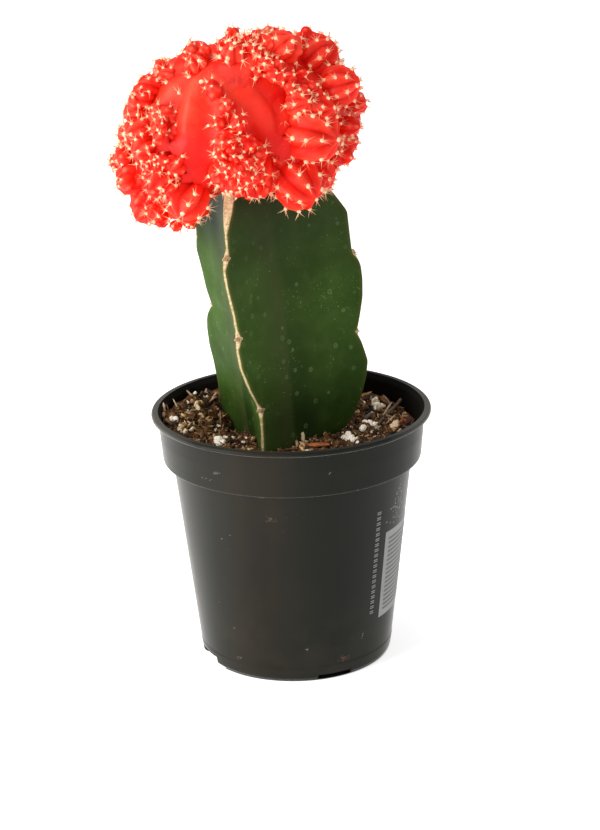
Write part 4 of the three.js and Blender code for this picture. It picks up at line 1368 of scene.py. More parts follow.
# %% The nearer body keeps the valley
GIVEN_UP = -9  # a gap that counts as buried
moved = (every_point + away * raised[:, None])[trunk]
fields = np.stack([body["outside"](moved) for body in bodies[:TRUNKS]])
mine = np.arange(TRUNKS)[:, None] == owner[trunk]
behind = fields[mine.argmax(0), np.arange(len(moved))] - np.where(mine, np.inf, fields).min(0)
gap[trunk] = np.where(behind > 0.25, GIVEN_UP, gap[trunk])
for spot in lone_spots:
    raised[trunk] += 0.6 * np.exp(-((np.linalg.norm(every_point[trunk] - spot, axis=1) / 2.4) ** 2))
lone_spots = lone_spots + 0.5 * lone_ways
print("points given up to a nearer body:", int((behind > 0.25).sum()))

# %% [markdown]
# ## The flesh as one surface
# Last, slow waves bend everything together, so that no body stays a perfect ball, and the faces that
# show are gathered into one mesh. A face is left out when all its corners are buried.


# %% Gathering the flesh
def swayed(points):
    """Three sums of slow waves, half a millimetre high, push each point along x, y and z."""
    return points + 0.5 * np.stack([waves(points, seed, 12) for seed in (24, 25, 26)], -1)


broad, fine, folds = waves(every_point, 21, 8), waves(every_point, 22, 3), waves(every_point, 23, 8)
lifted = every_point + away * (0.2 * broad + 0.06 * fine - 0.3 * np.abs(folds) + raised)[:, None]
placed = swayed(lifted)
flesh = Pile()
start = 0
for body in bodies:
    count = body["surface"][0].size // 3
    own = slice(start, start + count)
    start += count
    buried = -0.35 if body["pup"] else -0.05  # mm; a pup's skin goes on a little way in
    faces = []
    for corners in body["surface"][2]:
        shown = (gap[own][corners] > buried).any(axis=1)
        faces.append(corners[shown])
    used = np.unique(np.concatenate([one.ravel() for one in faces]))
    if len(used):
        renumber = np.zeros(count, int)
        renumber[used] = np.arange(len(used))
        faces = [renumber[one] for one in faces if len(one)]
        flesh.add(placed[own][used] + HEAD, faces, cleft=cleft[own][used], groove=every_groove[own][used])
print("flesh points kept:", flesh.count)

# %% [markdown]
# ## Red flesh
# The head has no green in it, so light goes straight into its flesh and comes out again: it glows.
# A little subsurface scattering gives that, with red travelling farthest, and a faint painted red glow
# keeps the clefts from going black. The colour is an orange-red with a painted highlight on the swellings
# and near the top, painted shade on the right side, and painted shade of deep scarlet in grooves and clefts.

# %% Flesh finish
glow = Finish("red_flesh", Roughness=0.38)
glow.set(glow.shader, {"Subsurface Weight": 0.3, "Subsurface Radius": (1.0, 0.2, 0.1)})
glow.set(glow.shader, {"Subsurface Scale": 0.0025, "Specular IOR Level": 0.15})
glow.set(glow.shader, {"Emission Color": (1.0, 0.02, 0.01, 1.0)})
sideways, high = glow.along("X"), glow.along("Z")
# Painted shade: deep scarlet where a point lies in a cleft or a groove.
deep = glow.remap(glow.value("cleft"), 0.2, 0.95)
furrow = glow.remap(glow.value("groove"), 0.01, 0.12, 0.0, 0.75)
hollow = glow.math("MAXIMUM", deep, furrow)
# Painted highlight near the top.
painted_top_highlight = glow.times(glow.remap(high, 0.15, 0.18), glow.remap(glow.noise(75, 3), 0.35, 0.65, 0.0, 0.6))
# Painted shade towards the right.
painted_right_shade = glow.times(glow.remap(sideways, 0.0, 0.014), glow.remap(glow.noise(110, 3), 0.35, 0.6, 0.15, 0.75))
red = glow.coat(
    glow.mix(glow.remap(glow.noise(120, 3), 0.35, 0.7), srgb(240, 35, 19), srgb(247, 53, 32)),
    (painted_top_highlight, (250, 92, 66)),
    (painted_right_shade, (212, 24, 14)),
    # painted highlight on the swellings and the mother's crests
    (glow.remap(glow.value("groove"), -0.02, -0.09, 0.0, 0.6), (249, 108, 80)),
    (hollow, (206, 8, 5)),
    (glow.times(glow.remap(glow.cells(700), 0.12, 0.06), 0.25), (255, 150, 110)),
)
flesh_grain = glow.math("ADD", glow.noise(420, 3), glow.times(glow.noise(1600, 2), 0.3))
# A painted red glow in the clefts and grooves.
shine = glow.math("ADD", glow.remap(hollow, 0.0, 1.0, 0.02, 0.1), glow.times(deep, 0.05))
flesh_finish = glow.feed(Base_Color=red, Emission_Strength=shine, Normal=glow.bump(flesh_grain, 0.4, 0.3))
show("scion_flesh", flesh, flesh_finish, "red_flesh", "scion")
print("flesh nodes:", len(glow.tree.nodes))

# %% [markdown]
# ## Wool and spines
# Every areole is a small cushion of cream wool that holds a handful of thin spines. One tuft and one
# spine are modelled, and arrays of places, directions and sizes repeat them, so the whole head has its
# hundreds of areoles in two meshes. Real hair strands would be lost on export.


# %% Repeating a small shape
def axes_for(aims, spins):
    """For each aim, three unit axes as rows; the third is the aim, the first turns with the spin."""
    aims = aims / np.linalg.norm(aims, axis=1, keepdims=True)
    not_along = np.where(np.abs(aims[:, 2:]) < 0.9, [[0.0, 0, 1]], [[1.0, 0, 0]])
    first = np.cross(not_along, aims)
    first /= np.linalg.norm(first, axis=1, keepdims=True)
    second = np.cross(aims, first)
    c, s = np.cos(spins)[:, None], np.sin(spins)[:, None]
    return np.stack([first * c + second * s, second * c - first * s, aims], axis=1)


def repeat(pile, unit, faces, centres, aims, sizes, spins, **values):
    """Copy k of the unit shape = centre_k + (unit * size_k) along the three axes of its aim."""
    points = np.einsum("kmi,kij->kmj", unit[None] * sizes[:, None], axes_for(aims, spins)) + centres[:, None]
    start = (np.arange(len(centres)) * len(unit))[:, None, None]
    spread = {key: np.repeat(value, len(unit)) for key, value in values.items()}
    pile.add(points, [(one[None] + start).reshape(-1, one.shape[1]) for one in faces], **spread)


def rough_ball(rows, cols, rough, seed, first=0.3, last=np.pi - 0.3, open_below=False):
    """A ball whose reach is 1 + rough * random, from one angle to another: a tuft, a crumb or a grain."""
    rng = np.random.default_rng(seed)
    polar = np.linspace(first, last, rows)[:, None]
    reach = 1 + rough * rng.uniform(-1, 1, (rows, cols))
    points = way_out(polar, round_about(cols)) * reach[..., None]
    return points.reshape(-1, 3), tube_faces(rows, cols, last=not open_below, flip=True)


unit_tuft = rough_ball(4, 8, 0.16, 2, first=0.25, last=2.0, open_below=True)
print("points in a tuft:", len(unit_tuft[0]))

# %% [markdown]
# ## Where the areoles are
# On the pups the formula gives the places. Small pups keep only some of them, more at the upper left,
# where the head in the picture is woolliest. The mother's ribs at the back and the plain balls carry
# rows of their own. An areole that lies inside another body is left out.

# %% Every areole that shows
LONE, BARE = -1, -2  # owners: none, and none because the flesh there is buried
WOOLLY_COLUMNS, WOOLLY_ABOVE = (226, 268), 78  # pixels
MANY_LEFT_OF, MANY_ABOVE = 165, 175
BACK_RIBS = MOTHER["first_rib"] + 36 * np.array([-3, -2, 4, 5, 6])
found = [(lone_spots, lone_ways, np.full(len(lone_spots), 1.25), np.full(len(lone_spots), LONE))]
draw = dice(67)
for i, body in enumerate(bodies):
    if not body["pup"]:
        continue
    at, way = pup_areoles(body["pup"])
    radius = body["pup"]["radius"]
    pixel_x, pixel_y, _ = in_picture(body["middle"] + HEAD)
    woolly = WOOLLY_COLUMNS[0] < pixel_x < WOOLLY_COLUMNS[1] and pixel_y < WOOLLY_ABOVE
    if radius < BIG and not woolly:
        share = (0.5 if radius <= MIDDLING else 0.7) + 0.3 * (pixel_x < MANY_LEFT_OF and pixel_y < MANY_ABOVE)
        kept = np.array([True] + [draw() < share for _ in at[1:]])
        at, way = at[kept], way[kept]
    size = np.full(len(at), 0.64 + 0.09 * min(radius, 7) + 0.2 * woolly)
    found.append((at, way, size, np.full(len(at), i)))
print("areoles on the pups:", sum(len(row[0]) for row in found[1:]))

# %% Areoles on the mother and the plain balls
azimuth, elevation = np.meshgrid(np.radians(BACK_RIBS), np.radians([10, 30, 50, 66]))
back_spots = [(0, spot) for spot in mother_points(azimuth.ravel(), elevation.ravel())]
for i, body in enumerate(bodies[1:TRUNKS], 1):
    step = np.arange(44)
    ways = direction(GOLDEN * step, np.degrees(np.arcsin(1 - (step + 0.5) / 22))).T
    back_spots += [(i, body["middle"] + body["near"] * way) for way in ways if way[1] > 0.1]
for i, spot in back_spots:
    nearest = np.argmin(np.linalg.norm(every_point - spot, axis=1) + 99 * (owner != i))
    owned_by = i if gap[nearest] > 0.3 else BARE
    found.append((lifted[nearest][None], away[nearest][None], [1.1], [owned_by]))
areole_at, areole_way, areole_size, areole_owner = (np.concatenate(column) for column in zip(*found))
clear = (gap_to_others(areole_at, areole_owner) > 0.05) | (areole_owner < TRUNKS)
shown = clear & (areole_owner != BARE)
areole_at, areole_way, areole_size = swayed(areole_at[shown]), areole_way[shown], areole_size[shown]
print("areoles:", len(areole_at), "of", len(shown))

# %% Wool cushions
rng = np.random.default_rng(31)
wool = Pile()
flat = areole_size[:, None] * np.array([0.5, 0.5, 0.4]) * rng.uniform(0.8, 1.2, (len(areole_size), 3))
spins = rng.uniform(0, 2 * np.pi, len(areole_at))
repeat(wool, *unit_tuft, areole_at + HEAD, areole_way, flat, spins, shade=rng.uniform(0, 1, len(areole_at)))
fluff = {"Sheen Weight": 0.3, "Sheen Roughness": 0.5}
# A painted warm glow stands in for the red light that the flesh throws onto the wool.
warm_glow = {"Emission Color": (1.0, 0.42, 0.2, 1.0), "Emission Strength": 0.14}
cloud, grain = (1400, 3, 0.4, 0.7, 0.4, (236, 150, 112)), (2600, 3, 0.8, 0.3)
cream = toned("areole_wool", 0.95, (250, 196, 152), (255, 224, 188), cloud, grain, "shade", fluff | warm_glow)
show("areole_wool", wool, cream, "red_flesh")
print("wool cushions:", len(areole_at))

# %% [markdown]
# ## Spines
# A spine is horn: pale at its root, browner at its tip, and so thin that light shines through it, which
# a faint warm light of its own imitates. Small areoles carry three or four spines, large ones up to
# seven. Each leans out from its areole's axis in a direction drawn at random.

# %% Thin spines
SMALL_AREOLE = 0.86
spines = Pile()
few, many = rng.integers(3, 5, len(areole_at)), rng.integers(4, 8, len(areole_at))
who = np.repeat(np.arange(len(areole_at)), np.where(areole_size < SMALL_AREOLE, few, many))
frames = axes_for(areole_way, spins)[who]
turn = rng.uniform(0, 2 * np.pi, len(who))
steep = rng.uniform(0.35, 1.35, len(who))
aims = np.einsum("ki,kij->kj", way_out(steep, turn), frames)
lengths = areole_size[who] * rng.uniform(1.2, 2.6, len(who))
roots = areole_at[who] + areole_way[who] * 0.15 + HEAD
root_to_tip = np.tile(np.repeat([0.0, 0.45, 1.0], 3), len(who))
needle_pile(spines, roots, aims, lengths, 0.1, 0.14, 37, tone=root_to_tip)
thorn = Finish("spine_horn", Roughness=0.5)
thorn.set(thorn.shader, {"Emission Color": (1.0, 0.4, 0.18, 1.0), "Emission Strength": 0.1})
horn = thorn.mix(thorn.value("tone"), srgb(255, 214, 170), srgb(214, 150, 110))
# Painted shade: the spines turn browner towards the right.
horn = thorn.coat(horn, (thorn.remap(thorn.along("X"), 0.008, 0.018, 0.0, 0.55), (176, 108, 78)))
show("scion_spines", spines, thorn.feed(Base_Color=horn), "red_flesh")
print("spines:", len(who))

# %% [markdown]
# ## The bark mix
# The pot holds a loose mix of shredded bark, peat, white perlite and a few straw fibres. It lies
# higher at the left wall. A single bumpy sheet would look like mud, so the mix is a sheet with fine
# clods and, on top of it, hundreds of separate crumbs, grains and fibres, each laid on the sheet's own
# height, which is the same formula as in the solid.

# %% Height of the mix
SOIL_LEVEL = 68.3
# Middle x and y, rise, width and depth of each bell in mm.
HEAPS = [(-37, 4, 6.6, 12, 24), (-18, 33, 4.6, 14, 10), (30, 20, 3, 9, 14), (14, 33, 1.6, 14, 8)]
NEAR_STEM = [(-18.5, 12, -5.5, 4.5, 8.5), (4.2, -9.5, 2.2, 2.6, 2.4)]  # a hollow and a hump against the skin


def with_bells(high, x, y, bells):
    """Adds a bell rise exp(-((dx / wide)^2 + (dy / deep)^2) / 2) for each row of a table."""
    for cx, cy, rise, wide, deep in bells:
        high = high + rise * np.exp(-(((x - cx) / wide) ** 2 + ((y - cy) / deep) ** 2) / 2)
    return high


def soil_height(x, y):
    """Level + two slow sine waves + a bell for each heap, as in the solid."""
    high = SOIL_LEVEL + 0.45 * np.sin(0.83 * x + 0.4 * y) + 0.4 * np.sin(0.71 * y - 0.35 * x + 1.3)
    return with_bells(high, x, y, HEAPS)


def clods(x, y):
    """A sum of folded waves |w| of three sizes, whose round lumps meet in sharp dips, and two bells."""
    flat = np.stack([x, y, 0 * x], -1)
    sizes = ((41, 7, 1.4), (42, 3.2, 1.2), (43, 1.5, 0.6))
    lumps = np.sum([np.abs(waves(flat, seed, length)) * high for seed, length, high in sizes], axis=0) - 0.9
    return with_bells(lumps, x, y, NEAR_STEM)


def inner_wall(z):
    """The pot's inner radius at a height, read from its profile."""
    r, h = np.array([(BASE - WALL, FLOOR), *INSIDE[1:]]).T
    return np.interp(z, h, r)


at_wall, at_stem = float(soil_height(-37.0, 4.0)), float(soil_height(8.0, -13.0))
print("mix at the left wall:", round(at_wall, 1), "and at the stem:", round(at_stem, 1))

# %% The sheet and its sides
RINGS, SECTORS = 96, 300
OFF_WALL = 0.35  # mm between the mix and the pot, so that they never flicker through each other
share = np.linspace(0.004, 1, RINGS)[:, None]
turn = round_about(SECTORS)
edge_z = soil_height(38.0 * np.cos(turn), 38.0 * np.sin(turn))
rim = inner_wall(edge_z) - OFF_WALL
x, y = share * rim * np.cos(turn), share * rim * np.sin(turn)
top = soil_height(x, y) + clods(x, y) * np.clip((1 - share) * 12, 0.25, 1)
drops = np.linspace(1, 0, 14)[1:, None]
low = FLOOR + 0.4
side_z = low + (top[-1] - low) * drops
side_r = np.minimum(inner_wall(side_z) - OFF_WALL, rim)
sides = np.stack([side_r * np.cos(turn), side_r * np.sin(turn), side_z], -1)
whole = np.concatenate([np.stack([x, y, top], -1), sides])
tone = 0.22 + 0.25 * waves(whole, 51, 5) + 0.2 * waves(whole, 52, 1.6)
soil_pile = Pile()
soil_pile.add(whole, tube_faces(len(whole), SECTORS, flip=True), tone=tone.ravel())
print("soil sheet points:", soil_pile.count)

# %% [markdown]
# ## Crumbs
# Strewing hundreds of crumbs by hand would take days. A rule does it instead: even random places on a
# disc, less those that fall on the stem, each at the sheet's own height. A crumb is a rough ball of a
# few faces, longer than it is wide, and turned at random, because bark breaks into splinters.


# %% Strewing crumbs
def beside_stem(x, y):
    """True where a ray to the right crosses the stem's section an even number of times."""
    section = around[np.argmin(np.abs(heights - 70))][:, :2]
    crossings = np.zeros(len(x), int)
    for (ax, ay), (bx, by) in zip(section, np.roll(section, -1, 0)):
        if ay != by:
            crossings += ((ay > y) != (by > y)) & (x < (bx - ax) * (y - ay) / (by - ay) + ax)
    return crossings % 2 == 0


def strew(seed, count, reach=36.5):
    """Even places on the disc, r = reach sqrt(random), without those that fall on the stem."""
    rng = np.random.default_rng(seed)
    r, a = reach * np.sqrt(rng.uniform(0, 1, count)), rng.uniform(0, 2 * np.pi, count)
    x, y = r * np.cos(a), r * np.sin(a)
    clear = beside_stem(x, y)
    x, y = x[clear], y[clear]
    return x, y, soil_height(x, y) + clods(x, y), rng


def crumbs(pile, seed, count, least, most, longest):
    """Strewn lumps: a draw between the limits, to the power 1.4, and drawn out by up to `longest`."""
    x, y, z, rng = strew(seed, count)
    n = len(x)
    size = rng.uniform(least, most, n) ** 1.4
    long = rng.uniform(0.3, longest, n)
    wide, thick = size * rng.uniform(0.5, 1, n), size * rng.uniform(0.3, 0.8, n)
    sizes = np.stack([size * (0.6 + long), wide, thick], -1)
    aims = np.stack([rng.normal(0, 0.6, n), rng.normal(0, 0.6, n), np.ones(n)], -1)
    centres = np.stack([x, y, z + 0.3 * thick], -1)
    spins, tones = rng.uniform(0, 6.3, n), rng.beta(0.7, 1.2, n)
    repeat(pile, *rough_ball(4, 6, 0.4, seed), centres, aims, sizes, spins, tone=tones)


crumbs(soil_pile, 61, 800, 0.4, 1.0, 2.2)
crumbs(soil_pile, 62, 1200, 0.25, 0.7, 1.2)
peat = Pile()
crumbs(peat, 63, 2600, 0.18, 0.5, 1.0)
crumbs(peat, 64, 700, 0.3, 0.6, 5.0)
crumbs(peat, 65, 320, 0.6, 1.1, 3.2)
print("soil with crumbs:", soil_pile.count, "points, and fine peat:", peat.count)

# %% [markdown]
# ## Colours of the mix
# Peat is nearly black and bark runs from dark umber to a warm tan. Each crumb has one tone between 0
# and 1 and the shader turns it into a colour, with a fine noise on top so that no crumb is flat.

# %% Mix finish
earth = Finish("bark_mix", Roughness=0.85)
blend = earth.math("ADD", earth.value("tone"), earth.remap(earth.noise(900, 4), 0.3, 0.7, -0.22, 0.22))
bark = earth.coat(
    earth.mix(earth.remap(blend, 0.05, 0.45), srgb(24, 11, 1), srgb(124, 82, 38)),
    (earth.remap(blend, 0.45, 0.95), (240, 200, 140)),
    (earth.remap(earth.noise(160, 3), 0.52, 0.68, 0.0, 0.35), (116, 58, 28)),
)
soil_finish = earth.feed(Base_Color=bark, Normal=earth.bump(earth.noise(1500, 4), 0.7, 0.3))
show("bark_mix", soil_pile, soil_finish, "potting_mix", "soil")
show("fine_peat", peat, soil_finish, "potting_mix")
print("mix nodes:", len(earth.tree.nodes))

# %% [markdown]
# ## Perlite and straw
# Perlite is volcanic glass puffed up by heat: white, rough and light, so it lies on top of the mix. The
# large grains lie where the picture shows them, and smaller specks are strewn. Straw is strewn too, as
# bent needles that lie nearly flat. Both are pale, so they carry most of what the eye reads as texture.

# %% Perlite grains
PERLITE_SEEN = [
    # Pixel and size across in mm, noted in the picture
    (195.5, 390.4, 0.9), (208, 393.7, 1.0), (173.4, 418, 2.0), (216, 441, 2.2), (219, 442.5, 2.2),
    (346, 438, 2.1), (350, 437, 2.0), (353, 440, 1.5), (357.5, 439, 1.3), (357.8, 442, 1.2),
    (366, 424, 2.2), (370, 423, 1.8), (375, 425, 1.6), (364, 430, 1.9), (377, 405, 1.7),
    (377.6, 408.5, 1.6), (382.5, 406, 1.0), (374, 399, 1.7), (216, 430, 0.7), (225, 436, 0.8),
    (244, 441, 0.7), (219, 426, 0.8), (307, 450, 0.7), (187, 402, 0.8),
]
SUNK = 2.0  # pixels that a grain's middle is drawn down, because half of it stands above the mix
PARTS = 3  # rough balls in each grain
mix_points = whole[:RINGS].reshape(-1, 3)
mix_x, mix_y, _ = in_picture(mix_points)


def on_mix(pixel_x, pixel_y):
    """The point of the mix's sheet that is nearest to a pixel of the picture."""
    return mix_points[np.argmin(np.hypot(mix_x - pixel_x, mix_y - pixel_y))]


grains = Pile()
x, y, z, rng = strew(71, 90, 36)
n = len(x)
sizes = rng.uniform(0.2, 0.6, n)[:, None] * rng.uniform(0.7, 1.2, (n, 3))
turns = rng.uniform(0, 6.3, n)
specks, aims = np.stack([x, y, z + 0.1], -1), rng.normal(0, 1, (n, 3))
repeat(grains, *rough_ball(6, 9, 0.3, 8), specks, aims, sizes, turns, tone=rng.uniform(0.3, 1, n))
places = np.array([on_mix(px, py + SUNK) for px, py, _ in PERLITE_SEEN]) + [0, 0, 0.45]
halves = np.array([size for _, _, size in PERLITE_SEEN]) * 0.62
n = len(places)
for part in range(PARTS):
    centres = places + rng.normal(0, 0.4, (n, 3)) * halves[:, None]
    sizes = halves[:, None] * rng.uniform(0.6, 0.95, (n, 3))
    aims = rng.normal(0, 1, (n, 3))
    spins = rng.uniform(0, 6, n)
    repeat(grains, *rough_ball(9, 14, 0.2, 9 + part), centres, aims, sizes, spins, tone=np.ones(n))
# A painted faint glow keeps the grains white.
faint_glow = {"Emission Color": (1.0, 0.86, 0.66, 1.0), "Emission Strength": 0.14}
cloud, grain = (600, 4, 0.5, 0.8, 0.4, (216, 178, 138)), (1300, 3, 0.8, 0.4)
white = toned("perlite", 0.85, (160, 128, 98), (255, 252, 238), cloud, grain, own=faint_glow)
show("perlite_grains", grains, white, "potting_mix")
print("grains seen one by one:", len(PERLITE_SEEN))

# %% Straw fibres
straw = Pile()
for seed, count, longest, radius in ((81, 260, 3.0, 0.14), (82, 420, 2.2, 0.09)):
    x, y, z, rng = strew(seed, count, 36)
    n = len(x)
    aims = np.stack([rng.normal(0, 1, n), rng.normal(0, 1, n), np.abs(rng.normal(0, 0.45, n))], -1)
    roots = np.stack([x, y, z + 0.2], -1)
    tone = np.repeat(rng.beta(0.8, 1.2, n), 12)  # three rings of four points each
    needle_pile(straw, roots, aims, rng.uniform(0.8, longest, n), radius, 0.5, seed, 4, tone=tone)
cloud, grain = (500, 3, 0.4, 0.8, 0.5, (140, 92, 58)), (1200, 3, 0.5, 0.2)
show("straw_fibres", straw, toned("straw", 0.8, (70, 42, 26), (236, 206, 158), cloud, grain), "potting_mix")
print("straw:", straw.count // 12, "fibres")

# %% [markdown]
# ## Chunks seen one by one
# The eye knows the large chunks of bark by heart, so these are not left to chance. A table gives the
# foot of each in the picture, its size, the way it points and its colour. The same rough ball is drawn
# out to that size, and the colour runs from maroon through grey and cream to rust.

# %% Chunks and flakes seen one by one
CHUNKS_SEEN = [
    # Pixel of the foot; length, width, thickness in mm; heading in degrees, rise; tone, warmth
    (164, 413, 3.4, 1.1, 0.8, 110, 3.0, 0.75, 0.6), (177, 408, 2.9, 0.45, 0.4, 150, 1.6, 0.9, 0.5),
    (204, 419, 2.8, 1.5, 1.2, 125, 0.5, 0.95, 0.5), (200, 412, 2.8, 1.7, 1.3, 120, 0.6, 1.0, 0.5),
    (196, 407, 2.4, 1.6, 1.3, 60, 0.6, 0.9, 0.5), (180, 432, 2.8, 2.2, 1.6, 70, 0.8, 0.75, 0.5),
    (184.7, 434, 2.0, 1.7, 1.4, 90, 0.6, 0.95, 0.5), (190, 432, 2.2, 1.2, 0.9, 30, 0.5, 1.0, 0.5),
    (188, 428, 2.6, 0.5, 0.45, 130, 1.2, 1.0, 0.5), (188, 428, 2.2, 0.5, 0.45, 40, 0.8, 1.0, 0.5),
    (221, 425, 4.6, 0.6, 0.5, 95, 3.5, 0.5, 0.7), (222, 399, 1.8, 1.5, 1.2, 90, 0.5, 0.85, 0.5),
    (303, 441, 3.2, 2.1, 1.2, 95, 1.6, 0.85, 0.5), (306, 440, 2.2, 1.2, 0.8, 60, 0.9, 0.25, 0.7),
    (340, 431, 2.4, 1.3, 0.9, 120, 0.8, 0.35, 1.0), (297, 447, 2.4, 1.4, 0.9, 100, 0.9, 0.45, 0.6),
    (396, 430, 3.4, 2.4, 1.8, 80, 1.3, 1.0, 0.58), (393, 429, 2.0, 1.6, 1.3, 100, 0.4, 0.95, 0.55),
    (400, 425, 2.2, 1.3, 0.8, 20, 1.2, 0.4, 1.0), (398, 432, 1.8, 1.4, 1.0, 30, 0.3, 0.8, 0.7),
    (408, 424, 2.8, 1.8, 0.4, 60, 0.9, 0.32, -0.5), (188, 414, 2.8, 2.2, 0.4, 30, 0.6, 0.6, 0.0),
    (374, 403, 2.6, 2.4, 0.7, 90, 1.0, 0.75, 0.05), (378, 411, 2.4, 2.0, 1.6, 80, 0.9, 0.95, 0.42),
    (376, 405, 2.2, 1.9, 1.3, 110, 1.0, 0.9, 0.38), (366, 418, 3.2, 1.2, 0.6, 20, 0.5, 0.5, 0.1),
    (308, 452, 2.2, 1.0, 0.6, 10, 0.2, 0.6, 0.75), (391, 406, 4.6, 0.7, 0.6, 150, 1.1, 0.45, 0.7),
    (233, 447, 1.8, 1.0, 0.6, 40, 0.4, 0.5, 0.7), (328, 452, 2.4, 0.8, 0.6, 165, 0.3, 0.45, 0.8),
    (170, 424, 2.6, 1.6, 0.8, 160, 0.3, 0.15, 0.3), (210, 402, 3.0, 0.8, 0.6, 35, 0.4, 0.35, 0.7),
    (318, 441, 5.4, 0.6, 0.5, 168, 0.25, 0.4, 0.75), (325, 438, 4.4, 0.5, 0.4, 195, 0.4, 0.35, 0.7),
    (163, 418, 2.2, 1.8, 1.0, 100, 0.5, 0.6, 0.7), (168, 406, 3.0, 0.6, 0.5, 120, 1.0, 0.4, 0.6),
    (213, 400, 3.4, 0.9, 0.7, 60, 0.5, 0.6, 0.5), (192, 396, 3.0, 0.8, 0.6, 140, 0.6, 0.5, 0.6),
    (206, 395, 2.6, 0.9, 0.8, 80, 0.8, 0.4, 0.7), (384, 415, 5.2, 0.6, 0.5, 50, 0.7, 0.5, 0.45),
    (388, 424, 4.6, 0.5, 0.4, 40, 0.5, 0.6, 0.5), (372, 432, 3.6, 0.6, 0.4, 25, 0.4, 0.6, 0.5),
]
rows = np.array(CHUNKS_SEEN)
length, heading, rise = rows[:, 2], np.radians(rows[:, 5]), rows[:, 6]
aims = np.stack([np.cos(heading), np.sin(heading), rise], -1)
aims /= np.linalg.norm(aims, axis=1, keepdims=True)
feet = np.array([on_mix(px, py) for px, py in rows[:, :2]]) + [0, 0, 0.3]
centres = feet + aims * (length * 0.35)[:, None]
halves = rows[:, [3, 4, 2]] / 2
chunks = Pile()
lump, faces = rough_ball(12, 10, 0.25, 17)
repeat(chunks, lump, faces, centres, aims, halves, rows[:, 0], tone=rows[:, 7], warmth=rows[:, 8])
flakes = Finish("chunk_bark", Roughness=0.8)
warmth = flakes.value("warmth")
mottled = flakes.math("ADD", flakes.value("tone"), flakes.remap(flakes.noise(800, 3), 0.3, 0.7, -0.25, 0.2))
hue = flakes.coat(
    flakes.mix(flakes.remap(warmth, -0.5, 0.0), srgb(104, 40, 58), srgb(176, 164, 166)),
    (flakes.remap(warmth, 0.0, 0.5), (250, 226, 184)),
    (flakes.remap(warmth, 0.5, 1.0), (206, 104, 50)),
    (flakes.remap(mottled, 0.0, 0.9, 0.85, 0.0), (34, 20, 14)),
)
chunk_finish = flakes.feed(Base_Color=hue, Normal=flakes.bump(flakes.noise(900, 3), 0.7, 0.3))
show("bark_chunks", chunks, chunk_finish, "potting_mix")
print("chunks seen one by one:", len(rows))

# %% [markdown]
# ## The bark chip and the twig
# These two are solids of their own. The chip is a lens of the solid's length and width with a split,
# fibrous skin. The twig is a bent tube: rings of points along a curve, each ring a little off round.


# %% The bark chip
def tube(path, radii, sides=10):
    """Ring i lies round path point i, across the path's direction there, with radius radii_i."""
    ahead = np.gradient(path, axis=0)
    axes = axes_for(ahead, np.zeros(len(path)))
    turn = round_about(sides)
    ring = np.cos(turn)[:, None] * axes[:, None, 0] + np.sin(turn)[:, None] * axes[:, None, 1]
    return path[:, None] + ring * radii[..., None], tube_faces(len(path), sides)


CHIP_AT, CHIP_TURN = np.array([8.0, -13.0]), np.radians(-8)
CHIP_HALF_LONG, CHIP_ABOVE_MIX = 3.4, 0.9
CHIP_SHAPE = [1, 1.15, 0.62]  # how much the round lens is widened and flattened
u = np.linspace(-1, 1, 40)
bow = np.sqrt(np.clip(1 - np.abs(u) ** 2.4, 0.01, 1))
line = np.stack([CHIP_HALF_LONG * u, 0.12 * np.sin(4 * u), 0.15 * u], -1)
points, faces = tube(line, bow[:, None] * np.ones((1, 24)), 24)
points = points * CHIP_SHAPE
points = points + 0.07 * waves(points * [0.25, 1, 1], 91, 0.9)[..., None] * [0, 1, 1]
axis_x = np.array([np.cos(CHIP_TURN), np.sin(CHIP_TURN), 0])
axis_y = np.array([-np.sin(CHIP_TURN), np.cos(CHIP_TURN), 0])
placed = points[..., :1] * axis_x + points[..., 1:2] * axis_y + points[..., 2:] * [0, 0, 1]
chip_height = soil_height(*CHIP_AT) + CHIP_ABOVE_MIX
fibres = 0.5 + 0.5 * waves(points * [0.2, 1, 1], 92, 0.7)
chip_pile = Pile()
chip_pile.add(placed + [*CHIP_AT, chip_height], faces, tone=fibres.ravel())
cloud, grain = (900, 4, 0.45, 0.75, 0.5, (84, 38, 20)), (1200, 4, 0.6, 0.25)
rust = toned("bark_chip", 0.7, (120, 60, 24), (216, 130, 62), cloud, grain)
show("bark_chip_fine", chip_pile, rust, "bark", "bark_chip")
print("chip points:", chip_pile.count)

# %% The twig
TWIG_START, TWIG_MIDDLE, TWIG_END = np.array([[26.3, 1.2, 71.2], [29.9, 9.0, 71.9], [34.2, 17.0, 73.6]])
t = np.linspace(0, 1, 40)[:, None]
pull = 2 * TWIG_MIDDLE - (TWIG_START + TWIG_END) / 2  # the curve passes through the middle
path = (1 - t) ** 2 * TWIG_START + 2 * t * (1 - t) * pull + t**2 * TWIG_END
path = path + 0.18 * np.stack([waves(path, seed, 5) for seed in (93, 94, 95)], -1)
radii = 0.42 + 0.2 * t + 0.08 * waves(path, 96, 3)[:, None] + 0.05 * np.cos(3 * round_about(10) + 9 * t)
points, faces = tube(path, radii)
twig_pile = Pile()
twig_pile.add(points, faces, tone=0.4 + 0.3 * waves(points, 97, 1.2).ravel())
brown = toned("twig_bark", 0.8, (58, 42, 30), (150, 124, 96), grain=(1300, 3, 0.6, 0.2))
show("twig_fine", twig_pile, brown, "twig_wood", "twig")
print("twig points:", twig_pile.count)

# %% [markdown]
# ## Light
# The picture was lit like a catalogue page: a big soft source from the upper left, a weaker one from
# the right, a broad one from above, a low one that reaches under the head, and so much light on the
# floor that it turns white. The bright room also gives the black pot its pale edges, because plastic
# mirrors the room at a grazing angle.

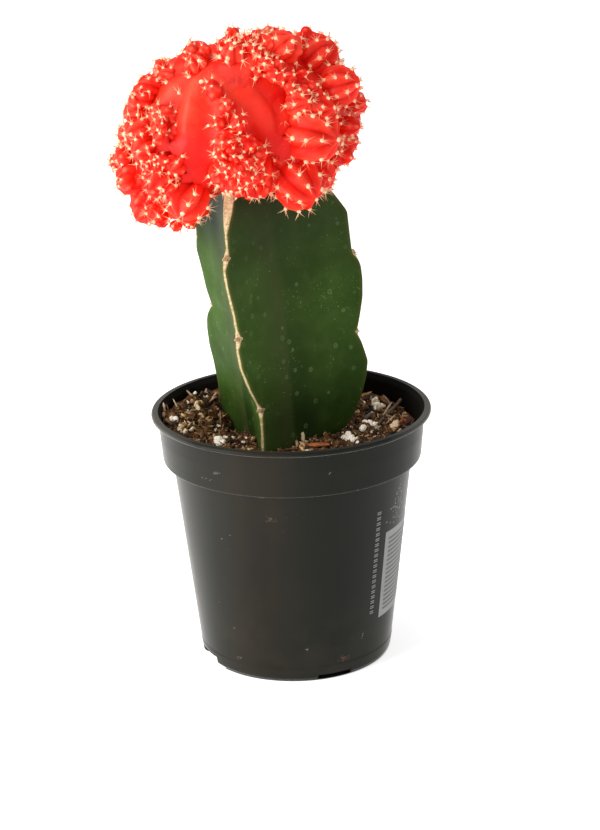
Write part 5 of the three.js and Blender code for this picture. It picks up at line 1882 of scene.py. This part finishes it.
# %% Room and softboxes
ROOM_LIGHT = 0.25
MIDDLE, POT_MIDDLE = Vector((0, 0, 0.09)), Vector((0, 0, 0.04))
world = bpy.data.worlds.new("room")
bpy.context.scene.world = world
world.use_nodes = True
world.node_tree.nodes["Background"].inputs["Color"].default_value = (1, 1, 1, 1)
world.node_tree.nodes["Background"].inputs["Strength"].default_value = ROOM_LIGHT


def softbox(name, place, size, power, aim=MIDDLE):
    """A rectangular area light at a place, turned to face a point of the part."""
    lamp = bpy.data.lights.new(name, "AREA")
    lamp.shape, lamp.size, lamp.size_y, lamp.energy = "RECTANGLE", size[0], size[1], power
    holder = bpy.data.objects.new(name, lamp)
    bpy.context.scene.collection.objects.link(holder)
    holder.location = Vector(place)
    holder.rotation_euler = (aim - holder.location).to_track_quat("-Z", "Y").to_euler()


softbox("key", (-0.8, -0.45, 0.7), (0.7, 0.8), 9)
softbox("low", (-0.6, -0.3, 0.1), (0.5, 0.2), 2.6, POT_MIDDLE)
softbox("fill", (0.95, -0.35, 0.45), (0.7, 0.9), 1.7)
softbox("top", (0.0, 0.1, 1.1), (1.0, 1.0), 4)
bpy.context.scene.view_settings.view_transform = "Standard"
print("lights:", [one.name for one in bpy.data.lights])

# %% [markdown]
# ## The floor
# A white floor could be lit until it burns out, but then it would light the pot from below. So it gives
# off a faint light of its own instead, more at the left and far away, where the picture is whitest.
# Under the pot it is dark and gives off none, because no light reaches in between the foot and the floor.

# %% A pale floor
FLOOR_REACH = 4000.0
SHADE_EDGE = (0.0285, 0.0292)  # metres from the pot's axis, just inside its foot
floor_pile = Pile()
floor_corners = np.array([[-1, -1, 0], [1, -1, 0], [1, 1, 0], [-1, 1, 0]])
floor_pile.add(floor_corners * FLOOR_REACH, np.array([[0, 1, 2, 3]]))
sweep = Finish("pale_floor", Roughness=0.8)
sweep.set(sweep.shader, {"Emission Color": (1, 1, 1, 1)})
flat_place = sweep.node("VectorMath", {0: sweep.place, 1: (1, 1, 0)}, operation="MULTIPLY").outputs["Vector"]
from_pot = sweep.node("VectorMath", {0: flat_place}, operation="LENGTH").outputs["Value"]
sideways = sweep.along("X")
past_left_foot = sweep.remap(sideways, -0.0215, -0.0225)
open_floor = sweep.math("MAXIMUM", sweep.remap(from_pot, *SHADE_EDGE), past_left_foot)
by_side = sweep.remap(sideways, -0.08, 0.02, 1.2, 0.65)
by_distance = sweep.remap(from_pot, 0.3, 0.7, 0.0, 1.1)
glowing = sweep.times(open_floor, sweep.math("MAXIMUM", by_side, by_distance))
under = sweep.mix(open_floor, (0.01, 0.01, 0.01, 1), (0.92, 0.92, 0.92, 1))
sweep.feed(Base_Color=under, Emission_Strength=glowing)
floor = link_pile("floor", floor_pile)
floor.data.materials.append(sweep.material)
print("floor laid")

# %% [markdown]
# ## Size
# The fine surfaces must not change how big the part is.
